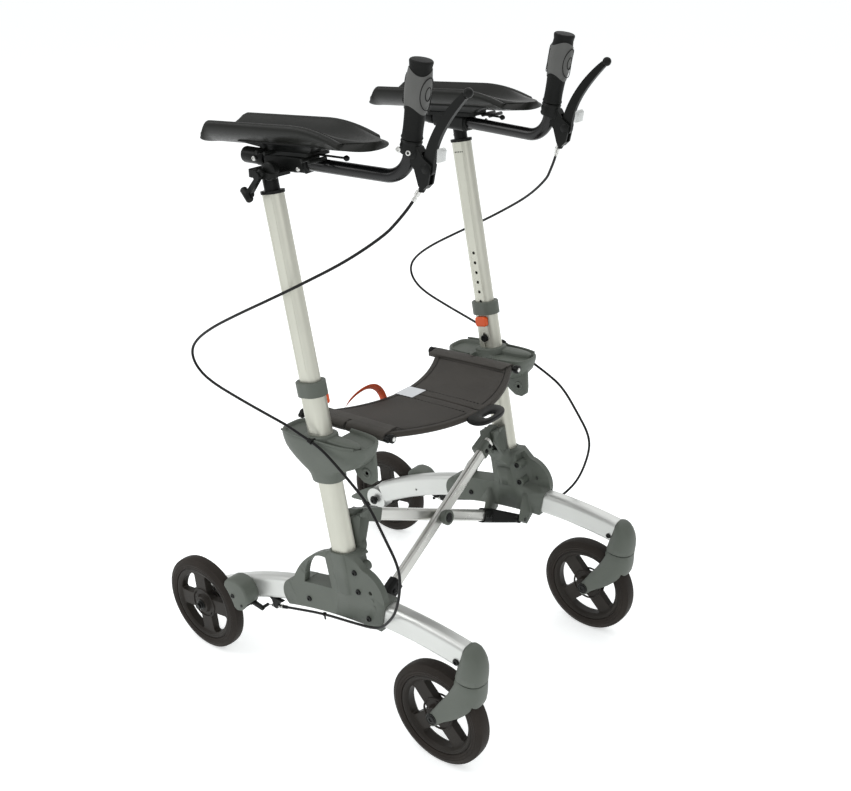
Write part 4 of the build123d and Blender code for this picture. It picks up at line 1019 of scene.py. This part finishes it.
def lever_details(word, side):
    clamp = turned("clamp", [(11.2, -24), (15.8, -23), (17.2, -20), (16.2, -16), (17.4, -12), (16.2, -8),
                             (17.0, -4), (15.6, -1.6), (11.2, -1)], grip_place(side, 0), GRIP_AXIS, 40)
    boss = turned("boss", [(7.5, -9.5), (9, -8.5), (9, 8.5), (7.5, 9.5)],
                  side_point(side, 186, GRIP_OUT, 1066), Y_AXIS, 28)
    pivot = turned("pivot", [(7, -9.2), (8, -8.4), (8, -6), (8, 6), (8, 8.4), (7, 9.2)],
                   side_point(side, 212, GRIP_OUT, 1046), Y_AXIS, 28)
    neck = turned("neck", [(6.8, -2), (6.2, 6), (5.2, 14), (4.6, 16)],
                  side_point(side, 205, GRIP_OUT, 1024), (-6, side * 2, -16), 24)
    joined(f"{word}_lever_clamp", [clamp, boss, pivot, neck], BLACK, f"{word}_handle", 40)
    screws = [socket_bolt(side_point(side, x, GRIP_OUT + out, z), (0.35, side, 0), 4.6, 3.2)
              for x, out, z in ((166, 14.6, 1070), (184, 13.0, 1067))]
    start = side_point(side, *CABLE_ROUTE[0])
    away = (start - side_point(side, *CABLE_ROUTE[1])).normalized()
    screws.append(turned("barrel", [(2.6, -15), (3.6, -14.4), (3.6, -9), (2.9, -8.4), (2.9, -5), (4.4, -4.4),
                                    (4.6, -3), (4.3, -1.6), (4.6, -0.2), (4.3, 1.2), (4.4, 3), (3.2, 3.6),
                                    (3.2, 9)], start, away, 24))
    joined(f"{word}_lever_hardware", screws, STEEL, f"{word}_handle", 35)
    block = [side_point(side, 235 + x, GRIP_OUT - 6, 1068 + z) for x, z in
             ((-5, -11), (5, -9), (7, 8), (3, 12), (-4, 9))]
    top = [p + Vector((0.6, side * 12, 0.4)) for p in block]
    settle(soften(loft(f"{word}_lever_block", [block, top]), 1.6), FROSTED, f"{word}_brake_lever", 40)


# ---------------------------------------------------------------- clamps under the pads
def clamp_details(word, side):
    along = (HANDLE_BEND - HANDLE_REAR).normalized()

    def on_tube(distance, out=0.0, up=0.0):
        p = HANDLE_REAR + along * distance
        return side_point(side, p.x, p.y + out, p.z + up)

    direction = Vector((along.x, side * along.y, along.z))
    cap = turned("cap", [(0, -6.5), (9, -6.3), (12.4, -4.5), (13.6, -1.5), (13.6, 26), (14.6, 27),
                         (14.6, 40), (13.2, 42), (11.2, 42)], on_tube(0), direction, 36)
    saddle = turned("saddle", [(13.4, 46), (15.6, 48), (16.4, 56), (14.8, 60), (16.8, 66), (16.8, 84),
                               (14.8, 90), (16.4, 96), (16.4, 122), (15, 128), (12.6, 130)],
                    on_tube(0), direction, 40)
    hub = turned("hub", [(12, -2), (14.5, -1), (15.5, 4), (15, 10), (13, 12), (0, 12.4)],
                 side_point(side, -52, FRAME_Y + 6, 1016), (0, side, 0), 32)
    ribs = [turned("rib", [(2.6, -20), (3.4, -19), (3.4, 19), (2.6, 20)],
                   side_point(side, x, 240, 1040), Y_AXIS, 16) for x in (-88, -70, 12, 28)]
    stub = turned("stub", [(2.4, -1), (4.6, 0), (5, 8), (5.6, 24), (4.4, 27), (0, 27.4)],
                  side_point(side, -74, FRAME_Y - 2, 1013), (-25, 0, -7), 20)
    joined(f"{word}_clamp_body", [cap, saddle, hub, stub] + ribs, BLACK, f"{word}_support", 40)
    screws = [socket_bolt(side_point(side, x, out, HANDLE_Z), (0, side, 0), radius, height)
              for x, out, radius, height in ((-112, 243, 4.2, 2.6), (-2, FRAME_Y - 1, 3.6, 2.2))]
    joined(f"{word}_clamp_screws", screws, STEEL, f"{word}_support")
    root, tip = side_point(side, -64, 278, 1009), side_point(side, -88, 286, 976)
    arm = turned("arm", [(3.5, -12), (6.4, -10), (6.4, 2), (4.8, 8), (4.2, 30), (4.8, 40)],
                 root, tip - root, 24)
    cross = turned("cross", [(5.2, -13), (6.4, -11.5), (6.4, 11.5), (5.2, 13)],
                   tip, (0.8, 0.2 * side, -0.55), 24)
    joined(f"{word}_clamp_tee", [arm, cross], BLACK, f"{word}_clamp_lever", 40)
    stay = as_mesh(rod("stay", [on_tube(120, 4, 15), on_tube(150, 5, 18), on_tube(205, 6, 19)], 1.8, 3))
    ball = turned("ball", [(0, -5), (3.4, -3.8), (5, 0), (3.4, 3.8), (0, 5)], on_tube(207, 6, 19),
                  direction, 20)
    joined(f"{word}_clamp_stay", [stay, ball], BLACK, f"{word}_support", 40)


# ---------------------------------------------------------------- cable ends and clips
def cable_fittings(word, side):
    end, before = side_point(side, *CABLE_ROUTE[-1]), side_point(side, *CABLE_ROUTE[-2])
    rearward = (end - before).normalized()
    ferrule = turned("ferrule", [(2.6, -24), (3.4, -23), (3.6, -12), (2.8, -11)], end, rearward, 20)
    under = leg_z(-106, -24.5)
    lug = [(-126, under + 1), (-86, under + 1.5), (-98, under - 6), (-103, end.z - 6), (-111, end.z - 6),
           (-116, under - 6)]
    tie_at = side_point(side, *CABLE_ROUTE[-3])
    tie = turned("tie", [(2.4, -2), (3.8, -2), (3.8, 2), (2.4, 2)], tie_at, (1, 0, 0.28), 20)
    tail = turned("tail", [(1.4, 0), (1.8, 2), (1.6, 8), (0, 8.5)], tie_at - Vector((0, 0, 3)),
                  (0.2, 0, -1), 12)
    clip_at = side_point(side, 30, 287.5, 568)
    clip = turned("clip", [(2.6, -4), (4.4, -4), (4.4, 4), (2.6, 4)], clip_at, (1, 0, -0.25), 20)
    foot = turned("foot", [(3, 0), (3, 11), (2, 12)], clip_at - Vector((0, side * 14, 1)),
                  (0, side, 0.05), 16)
    parts = [ferrule, side_plate("lug", lug, side, 260, 268), tie, tail, clip, foot]
    joined(f"{word}_cable_clips", parts, BLACK, f"{word}_frame", 40)
    pull = side_point(side, -132, 264, 148)
    wire = as_mesh(rod("wire", [end, side_point(side, -115, 264, 154), pull], 1.0, 3))
    barrels = [turned("barrel", [(2.6, -11), (4.2, -10), (4.2, -6), (3.4, -5), (3.4, 0), (2.2, 1)], end,
                      rearward, 20),
               turned("nipple", [(1.6, 6), (3.4, 7), (3.4, 20), (2.2, 22)], end,
                      (pull - end).normalized(), 20)]
    joined(f"{word}_cable_barrels", [wire] + barrels, STEEL, f"{word}_frame", 40)


# ---------------------------------------------------------------- brace
def brace_details():
    rise = PIVOT_HIGH_T - PIVOT_LOW_T
    length = math.hypot(rise, 2 * PIVOT_OUT)
    middle = lean_point(1, PIVOT_S, (PIVOT_LOW_T + PIVOT_HIGH_T) / 2, 0)
    face = middle + ACROSS_DIR * (STRUT_SHIFT + 23.5)
    knob = turned("brace_knob_ring", [(14.6, -4), (15.4, -3), (15.4, -1), (14.2, 0.6), (11, 0.9), (10, 0.2)],
                  face, ACROSS_DIR, 40)
    settle(knob, GREY, "brace_rear", 40)
    hexagon = [turned("hex", [(7.4, -1), (7.4, 2.0), (6.2, 3.0), (0, 3.0)], face, ACROSS_DIR, 6),
               turned("washer", [(9.8, -0.5), (9.8, 0.8), (8.6, 1.1)], face, ACROSS_DIR, 32)]
    joined("brace_knob_bolt", hexagon, DARK_STEEL, "brace_rear", 30)
    for name, side, shift in (("brace_front", -1, STRUT_SHIFT), ("brace_rear", 1, -STRUT_SHIFT)):
        along = (Vector((0, -side * 2 * PIVOT_OUT, 0)) + LEAN_DIR * rise).normalized()
        heads = []
        for distance, reach in ((52, 10.5), (68, 10.5), (length - 60, 10.0), (length - 46, 10.0)):
            start = lean_point(side, PIVOT_S + shift, PIVOT_LOW_T, PIVOT_OUT) + along * distance
            for facing in (-1, 1):
                out = ACROSS_DIR * facing
                heads.append(socket_bolt(start + out * reach, out, 4.6, 2.6))
        joined(f"{name}_bolts", heads, DARK_STEEL, name)


# ---------------------------------------------------------------- stage
CAMERA_PLACE, CAMERA_AIM, CAMERA_LENS = (1228.2, -1477.6, 1431.5), (-0.565, 0.710, -0.4205), 46.78
FLOOR_REACH = 70.0
LAMPS = (("key", (-2.6, -2.2, 3.6), 3.0, 62, 0.6), ("fill", (2.8, -2.6, 2.4), 3.0, 26, 0.6),
         ("top", (0.2, 0.4, 3.8), 3.2, 30, 0.4), ("back", (-0.6, 3.4, 2.6), 3.0, 22, 0.6))


def aimed(name, data, place, direction):
    holder = linked(name, data)
    holder.location = place
    holder.rotation_mode = "QUATERNION"
    holder.rotation_quaternion = direction.to_track_quat("-Z", "Y")
    return holder


def studio_floor():
    mesh = bpy.data.meshes.new("floor")
    corners = [(FLOOR_REACH * a, FLOOR_REACH * b, 0) for a, b in ((-1, -1), (1, -1), (1, 1), (-1, 1))]
    mesh.from_pydata(corners, [], [(0, 1, 2, 3)])
    paper = bpy.data.materials.new("studio_paper")
    paper.use_nodes = True
    set_inputs(paper.node_tree.nodes["Principled BSDF"], {
        "Base Color": (0.93, 0.945, 0.95, 1), "Roughness": 0.85, "Specular IOR Level": 0.1,
        "Emission Color": (0.975, 0.99, 0.985, 1), "Emission Strength": 0.43})
    mesh.materials.append(paper)
    linked("floor", mesh)


def lights_and_camera():
    scene = bpy.context.scene
    scene.view_settings.view_transform = "Standard"
    scene.world = bpy.data.worlds.new("studio")
    scene.world.use_nodes = True
    set_inputs(scene.world.node_tree.nodes["Background"],
               {"Color": (0.985, 0.99, 0.99, 1), "Strength": 0.62})
    for name, place, size, power, aim_z in LAMPS:
        lamp = bpy.data.lights.new(name, "AREA")
        lamp.size, lamp.energy = size, power
        aimed(name, lamp, place, Vector((0, 0, aim_z)) - Vector(place))
    camera = bpy.data.cameras.new("camera")
    camera.sensor_width, camera.lens, camera.clip_end = 36.0, CAMERA_LENS, 300
    scene.camera = aimed("camera", camera, Vector(CAMERA_PLACE) * MM, Vector(CAMERA_AIM))


def each_side(*makers):
    for make in makers:
        for word, side in SIDES:
            make(word, side)


finish_cad_nodes()
each_side(wheels, forearm_pad, seat_half)
pull_ring()
label_patch()
strap_loop()
each_side(cable, cable_fittings, upright_details, bolts, frame_rods, casting, rear_hood, caster,
          seat_bracket, grip, lever_details, clamp_details)
brace_details()
studio_floor()
lights_and_camera()
